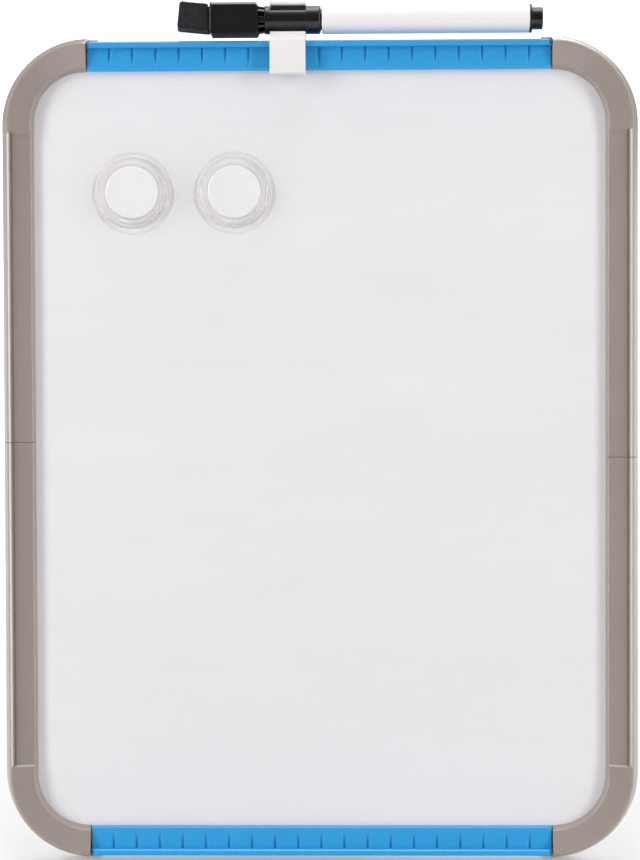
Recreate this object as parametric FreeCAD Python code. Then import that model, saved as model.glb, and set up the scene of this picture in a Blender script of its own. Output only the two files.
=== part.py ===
import FreeCAD, Part
import math
import os
from FreeCAD import Vector

# Magnetic desk whiteboard easel, in millimetres.
# The board is drawn upright first: X to the right, Z up the board from its bottom edge, and Y
# backwards from the frame's back plane, so that the front is at negative Y. A frame section is
# drawn in two numbers: how far inwards from the outer edge it lies, and its Y.
# all_pieces() then leans it back on its fold-out leg, with the desk at Z = 0.

# Frame as a whole
frame_width = 215.9
frame_height = 279.4
frame_corner_radius = 29.5
frame_front_y = -11.0
rim_thickness = 2.0
outer_flare = 2.4
outer_edge_rounding = 0.8
front_edge_drop = 0.8
rear_flange_reach = 8.0
rear_flange_thickness = 1.8
groove_wall_inset = 3.7
seam_gap = 0.15
seam_offset = 2.85
cut_overrun = 5.0

# Corner pieces
lip_inset = 3.9
lip_rounding = 0.3
channel_depth = 0.6
channel_floor_rounding = 0.25
channel_start = 3.1
corner_face_inset = 10.55
corner_face_inner_y = -8.7
inner_edge_inset = 12.5
inner_edge_rounding = 0.6
tongue_length = 14.0
tongue_root = 8.0
tongue_thickness = 1.4
tongue_clearance = 0.1
rim_tab_length = 3.0
rim_tab_clearance = 0.1

# Blue rails
rail_outer_inset = 2.2
rail_front_y = -10.4
rail_edge_rounding = 0.6
rail_lip_inset = 4.3
rail_lip_rounding = 0.3
rail_floor_y = -8.2
rail_inner_inset = 12.15
rail_inner_rounding = 0.7
rail_end_chamfer = 1.2
rail_end_gap = 0.45
rail_groove_count = 19
rail_groove_pitch = 7.85
rail_groove_width = 0.8
rail_groove_depth = 0.8
rail_groove_length = 6.9

# Writing panel
panel_inset = 5.5
panel_clearance = 0.1
sheet_thickness = 0.4
core_thickness = 3.1
liner_thickness = 0.4

# Stand bracket on the back
lean_angle = 20.0
open_angle = 33.0
hinge_height = 168.0
bracket_half_width = 25.0
bracket_rise = 15.0
bracket_fall = 17.0
bracket_thickness = 2.2
bracket_corner_radius = 4.0
bracket_edge_rounding = 0.6
hinge_standoff = 5.0
ear_inner_half = 15.0
ear_thickness = 3.2
ear_radius = 5.0
ear_gusset = 1.6
pin_radius = 1.5
pin_head_radius = 2.7
pin_head_thickness = 1.2
pin_tail = 2.0
ear_hole_clearance = 0.03
push_nut_radius = 3.2
push_nut_thickness = 0.8
push_nut_clearance = 0.02
pin_end_gap = 0.05
screw_inset = 5.0
screw_shank_radius = 1.4
screw_head_radius = 2.7
screw_head_height = 1.5
screw_depth_in_core = 2.6
screw_hole_clearance = 0.05
screw_slot_width = 0.8
screw_slot_depth = 0.7

# Fold-out leg
leg_barrel_radius = 4.4
leg_barrel_clearance = 0.4
leg_bore_clearance = 0.08
leg_front_y = -2.2
leg_back_y = 3.8
leg_plate_thickness = 2.2
leg_rim_width = 2.0
leg_rib_width = 1.6
leg_foot_half_width = 21.0
leg_neck_length = 12.0
leg_cross_rib_pitch = 44.0
leg_cross_rib_count = 3
leg_cross_rib_drop = 1.0
leg_edge_rounding = 0.8
heel_rise = 8.5
heel_back_y = 2.4
heel_clearance = 0.12
foot_pad_thickness = 2.4
foot_pad_margin = 0.8
foot_pad_side_inset = 1.0
foot_pad_corner_radius = 1.5

# Marker clip that slides along the top rail
clip_centre_x = -10.3
clip_width = 12.0
clip_rail_clearance = 0.2
clip_leg_thickness = 1.5
clip_leg_drop = 13.5
clip_hook_clearance = 0.2
clip_hook_reach = 3.4
clip_back_drop = 14.0
clip_back_thickness = 1.4
clip_nub_radius = 0.9
clip_plate_thickness = 1.6
clip_edge_rounding = 0.5
clip_shoulder_drop = 1.6

# Marker
marker_axis_rise = 5.35
marker_axis_y = -5.5
cradle_thickness = 1.4
cradle_clearance = 0.1
cradle_arm_reach = 4.0
cap_collar_radius = 4.85
cap_waist_radius = 4.4
cap_waist_margin = 0.1
cap_left_collar = 1.75
cap_right_collar = 4.95
cap_edge_chamfer = 0.6
cap_bore_radius = 3.7
cap_end_wall = 1.2
neck_length = 2.1
neck_core_radius = 2.6
neck_fin_count = 10
neck_fin_thickness = 0.9
neck_fin_radius = 4.3
neck_fin_flare = 0.5
holder_length = 16.1
holder_height = 10.1
holder_depth = 13.4
holder_rounding = 0.9
holder_wall = 1.1
holder_pocket_depth = 13.0
holder_rim_length = 0.5
holder_rim_rise = 0.12
holder_taper_length = 0.6
holder_taper_inset = 0.7
felt_length = 10.6
felt_height = 8.3
felt_depth = 11.2
felt_tilt = 6.2
felt_clearance = 0.2
felt_rounding = 0.7
felt_gap = 0.8
barrel_gap = 0.45
barrel_radius = 4.85
barrel_bore_radius = 4.05
barrel_end_rounding = 0.4
plug_flange_thickness = 0.85
plug_flange_radius = 4.9
plug_radius = 3.8
plug_length = 3.6
plug_chamfer = 0.5
plug_spigot_length = 6.0
plug_spigot_bore = 2.8
fit_clearance = 0.1
nose_radius = 3.6
nose_length = 10.0
nose_spigot_length = 8.0
nose_tip_radius = 2.2
nose_cone_length = 3.5
nib_radius = 1.4
nib_length = 4.0
reservoir_radius = 3.6
reservoir_length = 54.0
reservoir_end_gap = 1.6

# Board magnets
magnet_radius = 14.0
magnet_top_radius = 11.5
magnet_height = 6.4
magnet_rim_height = 1.4
magnet_rim_rounding = 0.5
magnet_top_rounding = 0.8
magnet_dish_radius = 10.1
magnet_dish_depth = 0.4
magnet_disc_radius = 8.75
magnet_disc_thickness = 3.6
magnet_disc_recess = 0.15
magnet_disc_clearance = 0.15
magnet_board_gap = 0.05
magnet_drop_from_top = 52.8
left_magnet_inset = 45.05
magnet_spacing = 34.4

# Places that follow from the sizes above
half_width = frame_width / 2
arc_end_x = half_width - frame_corner_radius
arc_centre_z = frame_height - frame_corner_radius
liner_back_y = -rear_flange_thickness - panel_clearance
core_back_y = liner_back_y - liner_thickness
sheet_back_y = core_back_y - core_thickness
sheet_front_y = sheet_back_y - sheet_thickness
flange_under_y = sheet_front_y - panel_clearance
bracket_back_y = liner_back_y + bracket_thickness
hinge_y = bracket_back_y + hinge_standoff
ear_outer_half = ear_inner_half + ear_thickness
leg_half_width = ear_inner_half - leg_barrel_clearance
clip_half = clip_width / 2
rail_top_z = frame_height - rail_outer_inset
clip_plate_z = rail_top_z + clip_rail_clearance
marker_axis_z = frame_height + marker_axis_rise
waist_left_x = clip_centre_x - clip_half - cap_waist_margin
waist_right_x = clip_centre_x + clip_half + cap_waist_margin
cap_left_x = waist_left_x - cap_left_collar
cap_right_x = waist_right_x + cap_right_collar
holder_right_x = cap_left_x - neck_length
holder_left_x = holder_right_x - holder_length
barrel_left_x = cap_right_x + barrel_gap
nib_left_x = barrel_left_x - nose_length - nib_length
nib_right_x = barrel_left_x + nose_spigot_length + fit_clearance
reservoir_right_x = nib_right_x + reservoir_length
barrel_right_x = reservoir_right_x + reservoir_end_gap + plug_spigot_length
left_magnet_x = -half_width + left_magnet_inset
right_magnet_x = left_magnet_x + magnet_spacing
magnet_z = frame_height - magnet_drop_from_top

X_AXIS = Vector(1, 0, 0)
Y_AXIS = Vector(0, 1, 0)
Z_AXIS = Vector(0, 0, 1)
ORIGIN = Vector(0, 0, 0)


def rounded_wire(corners, place):
    """Closed wire through corners (a, b, radius), each rounded by a tangent arc of its radius."""
    flat = [Vector(a, b, 0) for a, b, _ in corners]
    edges = []
    starts = []
    ends = []
    middles = []
    for index, (_, _, radius) in enumerate(corners):
        here = flat[index]
        if radius == 0:
            starts.append(here)
            ends.append(here)
            middles.append(None)
            continue
        before = (flat[index - 1] - here).normalize()
        after = (flat[(index + 1) % len(flat)] - here).normalize()
        half_angle = before.getAngle(after) / 2
        reach = radius / math.tan(half_angle)
        inward = (before + after).normalize()
        centre = here + inward * (radius / math.sin(half_angle))
        starts.append(here + before * reach)
        ends.append(here + after * reach)
        middles.append(centre - inward * radius)
    for index in range(len(flat)):
        if middles[index] is not None:
            arc = Part.Arc(place(starts[index]), place(middles[index]), place(ends[index]))
            edges.append(arc.toShape())
        following = (index + 1) % len(flat)
        if ends[index].distanceToPoint(starts[following]) > Part.Precision.confusion():
            edges.append(Part.LineSegment(place(ends[index]), place(starts[following])).toShape())
    return Part.Wire(edges)


def prism(corners, place, direction):
    """Solid made by carrying a rounded outline along a straight direction."""
    return Part.Face(rounded_wire(corners, place)).extrude(direction)


def turned(corners, centre, axis, radial):
    """Solid of revolution from corners (distance along the axis, radius, rounding)."""
    def place(point):
        return centre + axis * point.x + radial * point.y
    return Part.Face(rounded_wire(corners, place)).revolve(centre, axis, 360)


def box(low_x, high_x, low_y, high_y, low_z, high_z):
    """Solid box between two corners."""
    size = (high_x - low_x, high_y - low_y, high_z - low_z)
    return Part.makeBox(*size, Vector(low_x, low_y, low_z))


def rod(radius, start, end):
    """Solid cylinder from one point to another."""
    return Part.makeCylinder(radius, (end - start).Length, start, end - start)


def half_turn(shape):
    """The same piece turned half round about the board's centre, front still forwards."""
    turned_piece = shape.copy()
    turned_piece.rotate(Vector(0, 0, frame_height / 2), Y_AXIS, 180)
    return turned_piece


def eased(shape, radius, chosen):
    """The shape with a fillet on each of its edges whose bounds pass the test."""
    return shape.makeFillet(radius, [edge for edge in shape.Edges if chosen(edge.BoundBox)])


# Frame

def side_place(z):
    """Places a frame section on the left side, at height z."""
    return lambda point: Vector(-half_width + point.x, point.y, z)


def outer_corners():
    """Outside of a corner piece's section, from the groove's back round to the front edge."""
    return [
        (groove_wall_inset, -rear_flange_thickness, 0),
        (rear_flange_reach, -rear_flange_thickness, 0),
        (rear_flange_reach, 0, 0),
        (0, 0, 0),
        (0, -rim_thickness, 0),
        (outer_flare, frame_front_y + front_edge_drop, outer_edge_rounding),
    ]


def corner_section():
    """Full section of a corner piece: its front face falls from the outer edge to the inner one."""
    return outer_corners() + [
        (outer_flare + front_edge_drop, frame_front_y, lip_rounding),
        (corner_face_inset, corner_face_inner_y, inner_edge_rounding),
        (inner_edge_inset, flange_under_y, 0),
        (groove_wall_inset, flange_under_y, 0),
    ]


def channel_section():
    """Section of a corner piece's side leg: a raised outer lip, and a shallow channel whose floor runs
    parallel to the front face of the bend, down to the sloping inner edge."""
    face_start = outer_flare + front_edge_drop
    face_slope = (corner_face_inner_y - frame_front_y) / (corner_face_inset - face_start)
    edge_slope = (flange_under_y - corner_face_inner_y) / (inner_edge_inset - corner_face_inset)
    floor_start_y = frame_front_y + channel_depth + face_slope * (lip_inset - face_start)
    floor_end = corner_face_inset + channel_depth / (edge_slope - face_slope)
    floor_end_y = corner_face_inner_y + edge_slope * (floor_end - corner_face_inset)
    return outer_corners() + [
        (face_start, frame_front_y, 0),
        (lip_inset, frame_front_y, lip_rounding),
        (lip_inset, floor_start_y, channel_floor_rounding),
        (floor_end, floor_end_y, inner_edge_rounding),
        (inner_edge_inset, flange_under_y, 0),
        (groove_wall_inset, flange_under_y, 0),
    ]


def tongue_section():
    """Range of inset and of Y that a tongue fills, inside the groove and clear of the panel."""
    outer = groove_wall_inset + tongue_clearance
    return (outer, outer + tongue_thickness,
            flange_under_y + tongue_clearance, -rear_flange_thickness - tongue_clearance)


def corner_piece(seam_z, with_seam_tongue):
    """Top left corner piece, from the rail's end round to the seam in the side."""
    section = Part.Face(rounded_wire(corner_section(), side_place(arc_centre_z)))
    bend = section.revolve(Vector(-arc_end_x, 0, arc_centre_z), Y_AXIS, 90)
    plain_length = channel_start
    plain_leg = section.extrude(-Z_AXIS * plain_length)
    channel_top = arc_centre_z - plain_length
    channel_length = channel_top - (seam_z + seam_gap / 2)
    channel_leg = prism(channel_section(), side_place(channel_top), -Z_AXIS * channel_length)
    low, high, front, back = tongue_section()
    rail_tongue = box(-arc_end_x - tongue_root, -arc_end_x + tongue_length, front, back,
                      frame_height - high, frame_height - low)
    rail_root = box(-arc_end_x - tongue_root, -arc_end_x, front, back,
                    frame_height - high, frame_height - low + 2 * tongue_clearance)
    rim_tab = box(-arc_end_x, -arc_end_x + rim_tab_length, -rim_thickness, 0,
                  frame_height - rail_outer_inset + rim_tab_clearance, frame_height)
    pieces = [plain_leg, channel_leg, rail_tongue, rail_root, rim_tab]
    if with_seam_tongue:
        top = seam_z + tongue_root
        pieces.append(box(-half_width + low, -half_width + high, front, back,
                          seam_z - tongue_length, top))
        pieces.append(box(-half_width + low - 2 * tongue_clearance, -half_width + high, front, back,
                          seam_z + seam_gap / 2, top))
    return bend.fuse(pieces).removeSplitter()


def rail_section():
    """Section of a rail: an outer lip, a sunk floor for the grooves, and the panel's groove."""
    return [
        (groove_wall_inset, -rear_flange_thickness, 0),
        (rear_flange_reach, -rear_flange_thickness, 0),
        (rear_flange_reach, 0, 0),
        (rail_outer_inset, 0, 0),
        (rail_outer_inset, rail_front_y, rail_edge_rounding),
        (rail_lip_inset, rail_front_y, rail_lip_rounding),
        (rail_lip_inset, rail_floor_y, 0),
        (rail_inner_inset, rail_floor_y, rail_inner_rounding),
        (rail_inner_inset, flange_under_y, 0),
        (groove_wall_inset, flange_under_y, 0),
    ]


def rail():
    """Top rail, with a row of shallow tapering grooves across its front."""
    half_length = arc_end_x - rail_end_gap

    def place(point):
        return Vector(-half_length, point.y, frame_height - point.x)

    body = prism(rail_section(), place, X_AXIS * (2 * half_length))
    groove = [
        (rail_lip_inset, rail_floor_y - rail_groove_depth, 0),
        (rail_lip_inset, rail_floor_y + rail_groove_depth, 0),
        (rail_lip_inset + rail_groove_length, rail_floor_y, 0),
        (rail_lip_inset + rail_groove_length, rail_floor_y - rail_groove_depth, 0),
    ]
    cuts = []
    first_x = -rail_groove_pitch * (rail_groove_count - 1) / 2
    for index in range(rail_groove_count):
        left = first_x + index * rail_groove_pitch - rail_groove_width / 2
        cuts.append(prism(groove, lambda point, x=left: Vector(x, point.y, frame_height - point.x),
                          X_AXIS * rail_groove_width))
    for side in (-1, 1):
        end_x = side * half_length
        corner = [
            (end_x + side * cut_overrun, rail_front_y - cut_overrun, 0),
            (end_x - side * rail_end_chamfer, rail_front_y - cut_overrun, 0),
            (end_x - side * rail_end_chamfer, rail_front_y, 0),
            (end_x, rail_front_y + rail_end_chamfer, 0),
            (end_x + side * cut_overrun, rail_front_y + rail_end_chamfer, 0),
        ]
        cuts.append(prism(corner, lambda point: Vector(point.x, point.y, rail_top_z + cut_overrun),
                          -Z_AXIS * (2 * cut_overrun + rail_lip_inset)))
    return body.cut(cuts)


def panel_layer(front_y, back_y):
    """One layer of the writing panel: a plate with round corners, its edges inside the groove."""
    low_z = panel_inset
    high_z = frame_height - panel_inset
    edge_x = half_width - panel_inset
    radius = frame_corner_radius - panel_inset
    outline = [
        (-edge_x, low_z, radius),
        (edge_x, low_z, radius),
        (edge_x, high_z, radius),
        (-edge_x, high_z, radius),
    ]
    return prism(outline, lambda point: Vector(point.x, front_y, point.y),
                 Y_AXIS * (back_y - front_y))


# Stand

def screw_places():
    """Where the bracket's four screws stand, as X and Z."""
    x = bracket_half_width - screw_inset
    low = hinge_height - bracket_fall + screw_inset
    high = hinge_height + bracket_rise - screw_inset
    return [(-x, low), (x, low), (-x, high), (x, high)]


def screw_hole(x, z):
    """Hole round one screw, through the bracket and liner into the core."""
    depth_y = core_back_y - screw_depth_in_core - screw_hole_clearance
    return rod(screw_shank_radius + screw_hole_clearance,
               Vector(x, depth_y, z), Vector(x, bracket_back_y + cut_overrun, z))


def bracket():
    """Hinge bracket: a plate on the back with two ears for the pin."""
    low_z = hinge_height - bracket_fall
    high_z = hinge_height + bracket_rise
    outline = [
        (-bracket_half_width, low_z, bracket_corner_radius),
        (bracket_half_width, low_z, bracket_corner_radius),
        (bracket_half_width, high_z, bracket_corner_radius),
        (-bracket_half_width, high_z, bracket_corner_radius),
    ]
    plate = prism(outline, lambda point: Vector(point.x, liner_back_y, point.y),
                  Y_AXIS * bracket_thickness)
    body = eased(plate, bracket_edge_rounding,
                 lambda bounds: bounds.YMin > bracket_back_y - bracket_thickness / 2)
    root_y = bracket_back_y - bracket_thickness / 2
    for side in (-1, 1):
        outer = side * ear_outer_half
        low_x, high_x = sorted((side * ear_inner_half, outer))
        ear_low = hinge_height - ear_radius
        ear_high = hinge_height + ear_radius
        body = body.fuse([
            box(low_x, high_x, root_y, hinge_y, ear_low, ear_high),
            rod(ear_radius, Vector(low_x, hinge_y, hinge_height), Vector(high_x, hinge_y, hinge_height)),
        ])
        gusset = [
            (outer, root_y, 0),
            (outer + side * ear_gusset, root_y, 0),
            (outer + side * ear_gusset, bracket_back_y, 0),
            (outer, bracket_back_y + ear_gusset, 0),
        ]
        body = body.fuse(prism(gusset, lambda point: Vector(point.x, point.y, ear_low),
                               Z_AXIS * (ear_high - ear_low)))
    hole = rod(pin_radius + ear_hole_clearance,
               Vector(-bracket_half_width, hinge_y, hinge_height),
               Vector(bracket_half_width, hinge_y, hinge_height))
    body = body.cut([hole] + [screw_hole(x, z) for x, z in screw_places()])
    return body.removeSplitter()


def bracket_screws():
    """The four slotted screws that hold the bracket, as separate solids in one group."""
    screws = []
    tip_y = core_back_y - screw_depth_in_core
    for x, z in screw_places():
        shank = rod(screw_shank_radius, Vector(x, tip_y, z), Vector(x, bracket_back_y, z))
        head = rod(screw_head_radius, Vector(x, bracket_back_y, z),
                   Vector(x, bracket_back_y + screw_head_height, z))
        slot = box(x - screw_slot_width / 2, x + screw_slot_width / 2,
                   bracket_back_y + screw_head_height - screw_slot_depth,
                   bracket_back_y + screw_head_height + cut_overrun,
                   z - screw_head_radius, z + screw_head_radius)
        screws.append(shank.fuse(head).cut(slot))
    return Part.makeCompound(screws)


def drilled(layer):
    """A panel layer with the bracket's screw holes in it."""
    return layer.cut([screw_hole(x, z) for x, z in screw_places()])


def hinge_pin():
    """Steel pin through both ears, with a head on its left end."""
    left = -ear_outer_half - pin_end_gap
    right = ear_outer_half + pin_end_gap + push_nut_thickness + pin_tail
    shank = rod(pin_radius, Vector(left, hinge_y, hinge_height), Vector(right, hinge_y, hinge_height))
    head = rod(pin_head_radius, Vector(left - pin_head_thickness, hinge_y, hinge_height),
               Vector(left, hinge_y, hinge_height))
    return shank.fuse(head).removeSplitter()


def push_nut():
    """Spring washer pushed over the pin's right end."""
    left = Vector(ear_outer_half + pin_end_gap, hinge_y, hinge_height)
    right = left + X_AXIS * push_nut_thickness
    return rod(push_nut_radius, left, right).cut(rod(pin_radius + push_nut_clearance, left, right))


def leg_angle():
    """How far the open leg stands from the vertical, in degrees."""
    return open_angle - lean_angle


def hinge_height_above_desk():
    """Height of the hinge axis above the desk with the board leaning on its leg."""
    lean = math.radians(lean_angle)
    return hinge_height * math.cos(lean) - hinge_y * math.sin(lean)


def leg_reach():
    """Length of the leg from its hinge axis to the desk, along the leg."""
    return hinge_height_above_desk() / math.cos(math.radians(leg_angle()))


def leg_half_width_at(z):
    """Half the leg's outer width at a height below the hinge axis."""
    share = (-z - leg_neck_length) / (leg_reach() - leg_neck_length)
    return leg_half_width + (leg_foot_half_width - leg_half_width) * max(share, 0)


def leg_outline(inset, top_z, foot_z):
    """Outline of the leg seen from behind, between two heights below the hinge axis."""
    neck_z = min(top_z, -leg_neck_length)
    foot = leg_half_width_at(foot_z) - inset
    neck = leg_half_width - inset
    outline = [(-neck, neck_z, 0), (-foot, foot_z, 0), (foot, foot_z, 0), (neck, neck_z, 0)]
    if top_z > neck_z:
        outline = [(-neck, top_z, 0)] + outline + [(neck, top_z, 0)]
    return outline


def leg_blank():
    """Leg hanging straight down from a hinge axis at the origin: a ribbed tray with a barrel."""
    def place_at(y):
        return lambda point: Vector(point.x, y, point.y)

    depth = leg_back_y - leg_front_y
    foot_z = -leg_reach() - cut_overrun
    blank = prism(leg_outline(0, 0, foot_z), place_at(leg_front_y), Y_AXIS * depth)
    body = eased(blank, leg_edge_rounding, lambda bounds: bounds.ZLength > leg_rim_width)
    tray_end_z = -leg_reach() + foot_pad_thickness + leg_rim_width
    tray = prism(leg_outline(leg_rim_width, -leg_neck_length, tray_end_z),
                 place_at(leg_front_y + leg_plate_thickness), Y_AXIS * (depth + cut_overrun))
    body = body.cut(tray)
    ribs = [box(-leg_rib_width / 2, leg_rib_width / 2, leg_front_y, leg_back_y - leg_cross_rib_drop,
                tray_end_z, -leg_neck_length)]
    for index in range(leg_cross_rib_count):
        z = -leg_neck_length - (index + 1) * leg_cross_rib_pitch + leg_cross_rib_pitch / 2
        half = leg_half_width_at(z) - leg_rim_width / 2
        ribs.append(box(-half, half, leg_front_y, leg_back_y - leg_cross_rib_drop,
                        z - leg_rib_width / 2, z + leg_rib_width / 2))
    barrel = rod(leg_barrel_radius, Vector(-leg_half_width, 0, 0), Vector(leg_half_width, 0, 0))
    return body.fuse(ribs + [barrel])


def open_leg():
    """Leg at its open stop, in the upright board's frame, with its foot still uncut."""
    hinge = Vector(0, hinge_y, hinge_height)
    leg = leg_blank()
    leg.rotate(ORIGIN, X_AXIS, open_angle)
    leg.translate(hinge)
    heel_front = bracket_back_y + heel_clearance
    heel = box(-leg_half_width, leg_half_width, heel_front, hinge_y + heel_back_y,
               hinge_height, hinge_height + heel_rise)
    bore = rod(pin_radius + leg_bore_clearance, hinge - X_AXIS * frame_width, hinge + X_AXIS * frame_width)
    return leg.fuse(heel).cut(bore)


def foot_range():
    """Front and back of the leg's foot on the desk, as Y in the standing frame."""
    angle = math.radians(leg_angle())
    lean = math.radians(lean_angle)
    hinge_back = hinge_y * math.cos(lean) + hinge_height * math.sin(lean)
    middle = hinge_back + hinge_height_above_desk() * math.tan(angle)
    return (middle + leg_front_y / math.cos(angle), middle + leg_back_y / math.cos(angle))


# Marker and clip

def marker_point(x):
    """Point on the marker's axis."""
    return Vector(x, marker_axis_y, marker_axis_z)


def clip():
    """Clip in side view: it hooks over the rail and holds the cap in an open cradle."""
    front_y = rail_front_y - clip_rail_clearance
    leg_front = front_y - clip_leg_thickness
    leg_low = frame_height - clip_leg_drop
    hook_top = frame_height - rail_inner_inset - clip_hook_clearance
    back_y = clip_rail_clearance
    back_outer = back_y + clip_back_thickness
    back_low = frame_height - clip_back_drop
    plate_top = clip_plate_z + clip_plate_thickness
    arm_front = marker_axis_y - cradle_arm_reach
    outline = [
        (leg_front, leg_low, clip_edge_rounding),
        (front_y + clip_hook_reach, leg_low, clip_edge_rounding),
        (front_y + clip_hook_reach, hook_top, 0),
        (front_y, hook_top, 0),
        (front_y, clip_plate_z, 0),
        (back_y, clip_plate_z, 0),
        (back_y, back_low, 0),
        (back_outer, back_low, clip_edge_rounding),
        (back_outer, plate_top, clip_edge_rounding),
        (arm_front, plate_top, 0),
        (leg_front, plate_top - clip_shoulder_drop, clip_edge_rounding),
    ]
    left = clip_centre_x - clip_half
    hook = prism(outline, lambda point: Vector(left, point.x, point.y), X_AXIS * clip_width)
    nub = rod(clip_nub_radius, Vector(left, back_outer - clip_nub_radius / 2, back_low + clip_nub_radius),
              Vector(left + clip_width, back_outer - clip_nub_radius / 2, back_low + clip_nub_radius))
    inner = cap_waist_radius + cradle_clearance
    outer = inner + cradle_thickness
    start = marker_point(left)
    end = marker_point(left + clip_width)
    ring = rod(outer, start, end)
    arms = box(left, left + clip_width, arm_front, marker_axis_y,
               marker_axis_z - outer, marker_axis_z + outer)
    ring = ring.fuse(arms)
    front_half = box(left, left + clip_width, arm_front - frame_width, arm_front,
                     marker_axis_z - outer, marker_axis_z + outer)
    hollow = rod(inner, start, end).fuse(
        box(left, left + clip_width, arm_front - cut_overrun, marker_axis_y,
            marker_axis_z - inner, marker_axis_z + inner))
    pad = box(left, left + clip_width, arm_front, marker_axis_y + outer / 2,
              clip_plate_z, marker_axis_z - inner)
    return hook.fuse([ring.cut(front_half), pad, nub]).cut(hollow).removeSplitter()


def cap():
    """Marker cap, with vented neck and square eraser holder in one moulding."""
    outside = [
        (cap_left_x, 0, 0),
        (cap_left_x, cap_collar_radius, 0),
        (waist_left_x, cap_collar_radius, 0),
        (waist_left_x, cap_waist_radius, 0),
        (waist_right_x, cap_waist_radius, 0),
        (waist_right_x, cap_collar_radius, 0),
        (cap_right_x - cap_edge_chamfer, cap_collar_radius, 0),
        (cap_right_x, cap_collar_radius - cap_edge_chamfer, 0),
        (cap_right_x, 0, 0),
    ]
    barrel = turned(outside, marker_point(0), X_AXIS, Z_AXIS)
    bore_left = cap_left_x + cap_end_wall
    bore = rod(cap_bore_radius, marker_point(bore_left), marker_point(cap_right_x))
    overlap = cap_end_wall / 2
    neck = rod(neck_core_radius, marker_point(holder_right_x - overlap),
               marker_point(cap_left_x + overlap))
    fin = [
        (holder_right_x - overlap, 0, 0),
        (holder_right_x - overlap, neck_fin_radius + neck_fin_flare, 0),
        (cap_left_x + overlap, neck_fin_radius, 0),
        (cap_left_x + overlap, 0, 0),
    ]
    fins = []
    for index in range(neck_fin_count):
        blade = prism(fin, lambda point: Vector(point.x, -neck_fin_thickness / 2, point.y),
                      Y_AXIS * neck_fin_thickness)
        blade.rotate(ORIGIN, X_AXIS, (index + 1 / 2) * 360 / neck_fin_count)
        blade.translate(marker_point(0))
        fins.append(blade)
    return barrel.cut(bore).fuse([neck, eraser_holder()] + fins).removeSplitter()


def holder_wire(x, inset):
    """Rounded square across the eraser holder at x, smaller all round by the inset."""
    half_depth = holder_depth / 2 - inset
    half_height = holder_height / 2 - inset
    square = [
        (-half_depth, -half_height, holder_rounding),
        (half_depth, -half_height, holder_rounding),
        (half_depth, half_height, holder_rounding),
        (-half_depth, half_height, holder_rounding),
    ]
    return rounded_wire(square, lambda point: marker_point(x) + Vector(0, point.x, point.y))


def eraser_holder():
    """Square holder with a pocket for the felt, a rim at its mouth and a taper at its closed end."""
    taper_x = holder_right_x - holder_taper_length
    body = Part.Face(holder_wire(holder_left_x, 0)).extrude(X_AXIS * (taper_x - holder_left_x))
    rim = Part.Face(holder_wire(holder_left_x, -holder_rim_rise)).extrude(X_AXIS * holder_rim_length)
    ends = [holder_wire(taper_x, 0), holder_wire(holder_right_x, holder_taper_inset)]
    taper = Part.makeLoft(ends, True, True)
    half_depth = holder_depth / 2 - holder_wall
    half_height = holder_height / 2 - holder_wall
    pocket = box(holder_left_x, holder_left_x + holder_pocket_depth,
                 marker_axis_y - half_depth, marker_axis_y + half_depth,
                 marker_axis_z - half_height, marker_axis_z + half_height)
    return body.fuse([rim, taper]).cut(pocket)


def felt():
    """Felt eraser: a block that stands out of the holder a little askew, on a straight tenon."""
    half_depth = holder_depth / 2 - holder_wall - felt_clearance
    half_height = holder_height / 2 - holder_wall - felt_clearance
    block_end_x = holder_left_x - felt_gap
    tenon = box(block_end_x - felt_rounding, holder_left_x + holder_pocket_depth - felt_clearance,
                marker_axis_y - half_depth, marker_axis_y + half_depth,
                marker_axis_z - half_height, marker_axis_z + half_height)
    section = [
        (-felt_depth / 2, -felt_height / 2, felt_rounding),
        (felt_depth / 2, -felt_height / 2, felt_rounding),
        (felt_depth / 2, felt_height / 2, felt_rounding),
        (-felt_depth / 2, felt_height / 2, felt_rounding),
    ]
    block = prism(section, lambda point: Vector(-felt_length, point.x, point.y), X_AXIS * felt_length)
    block.rotate(ORIGIN, Y_AXIS, felt_tilt)
    block.translate(marker_point(holder_left_x))
    mouth = box(block_end_x, holder_left_x + felt_length,
                marker_axis_y - felt_depth, marker_axis_y + felt_depth,
                marker_axis_z - felt_height, marker_axis_z + felt_height)
    return block.cut(mouth).fuse(tenon).removeSplitter()


def barrel():
    """White barrel, open at both ends."""
    outside = [
        (barrel_left_x, barrel_bore_radius, 0),
        (barrel_left_x, barrel_radius, barrel_end_rounding),
        (barrel_right_x, barrel_radius, 0),
        (barrel_right_x, barrel_bore_radius, 0),
    ]
    return turned(outside, marker_point(0), X_AXIS, Z_AXIS)


def end_plug():
    """Black plug in the barrel's right end, with a thin flange and a hollow spigot."""
    flange_right = barrel_right_x + plug_flange_thickness
    right = flange_right + plug_length
    spigot_radius = barrel_bore_radius - fit_clearance
    outside = [
        (barrel_right_x - plug_spigot_length, plug_spigot_bore, 0),
        (barrel_right_x - plug_spigot_length, spigot_radius, 0),
        (barrel_right_x, spigot_radius, 0),
        (barrel_right_x, plug_flange_radius, 0),
        (flange_right, plug_flange_radius - plug_chamfer, 0),
        (flange_right, plug_radius, 0),
        (right - plug_chamfer, plug_radius, 0),
        (right, plug_radius - plug_chamfer, 0),
        (right, 0, 0),
        (flange_right, 0, 0),
        (flange_right, plug_spigot_bore, 0),
    ]
    return turned(outside, marker_point(0), X_AXIS, Z_AXIS)


def nose():
    """Nib holder, pressed into the barrel and hidden inside the cap."""
    left = barrel_left_x - nose_length
    spigot_right = barrel_left_x + nose_spigot_length
    bore = nib_radius + fit_clearance
    outside = [
        (left, bore, 0),
        (left, nose_tip_radius, 0),
        (left + nose_cone_length, nose_radius, 0),
        (barrel_left_x, nose_radius, 0),
        (barrel_left_x, barrel_bore_radius - fit_clearance, 0),
        (spigot_right, barrel_bore_radius - fit_clearance, 0),
        (spigot_right, bore, 0),
    ]
    return turned(outside, marker_point(0), X_AXIS, Z_AXIS)


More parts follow.
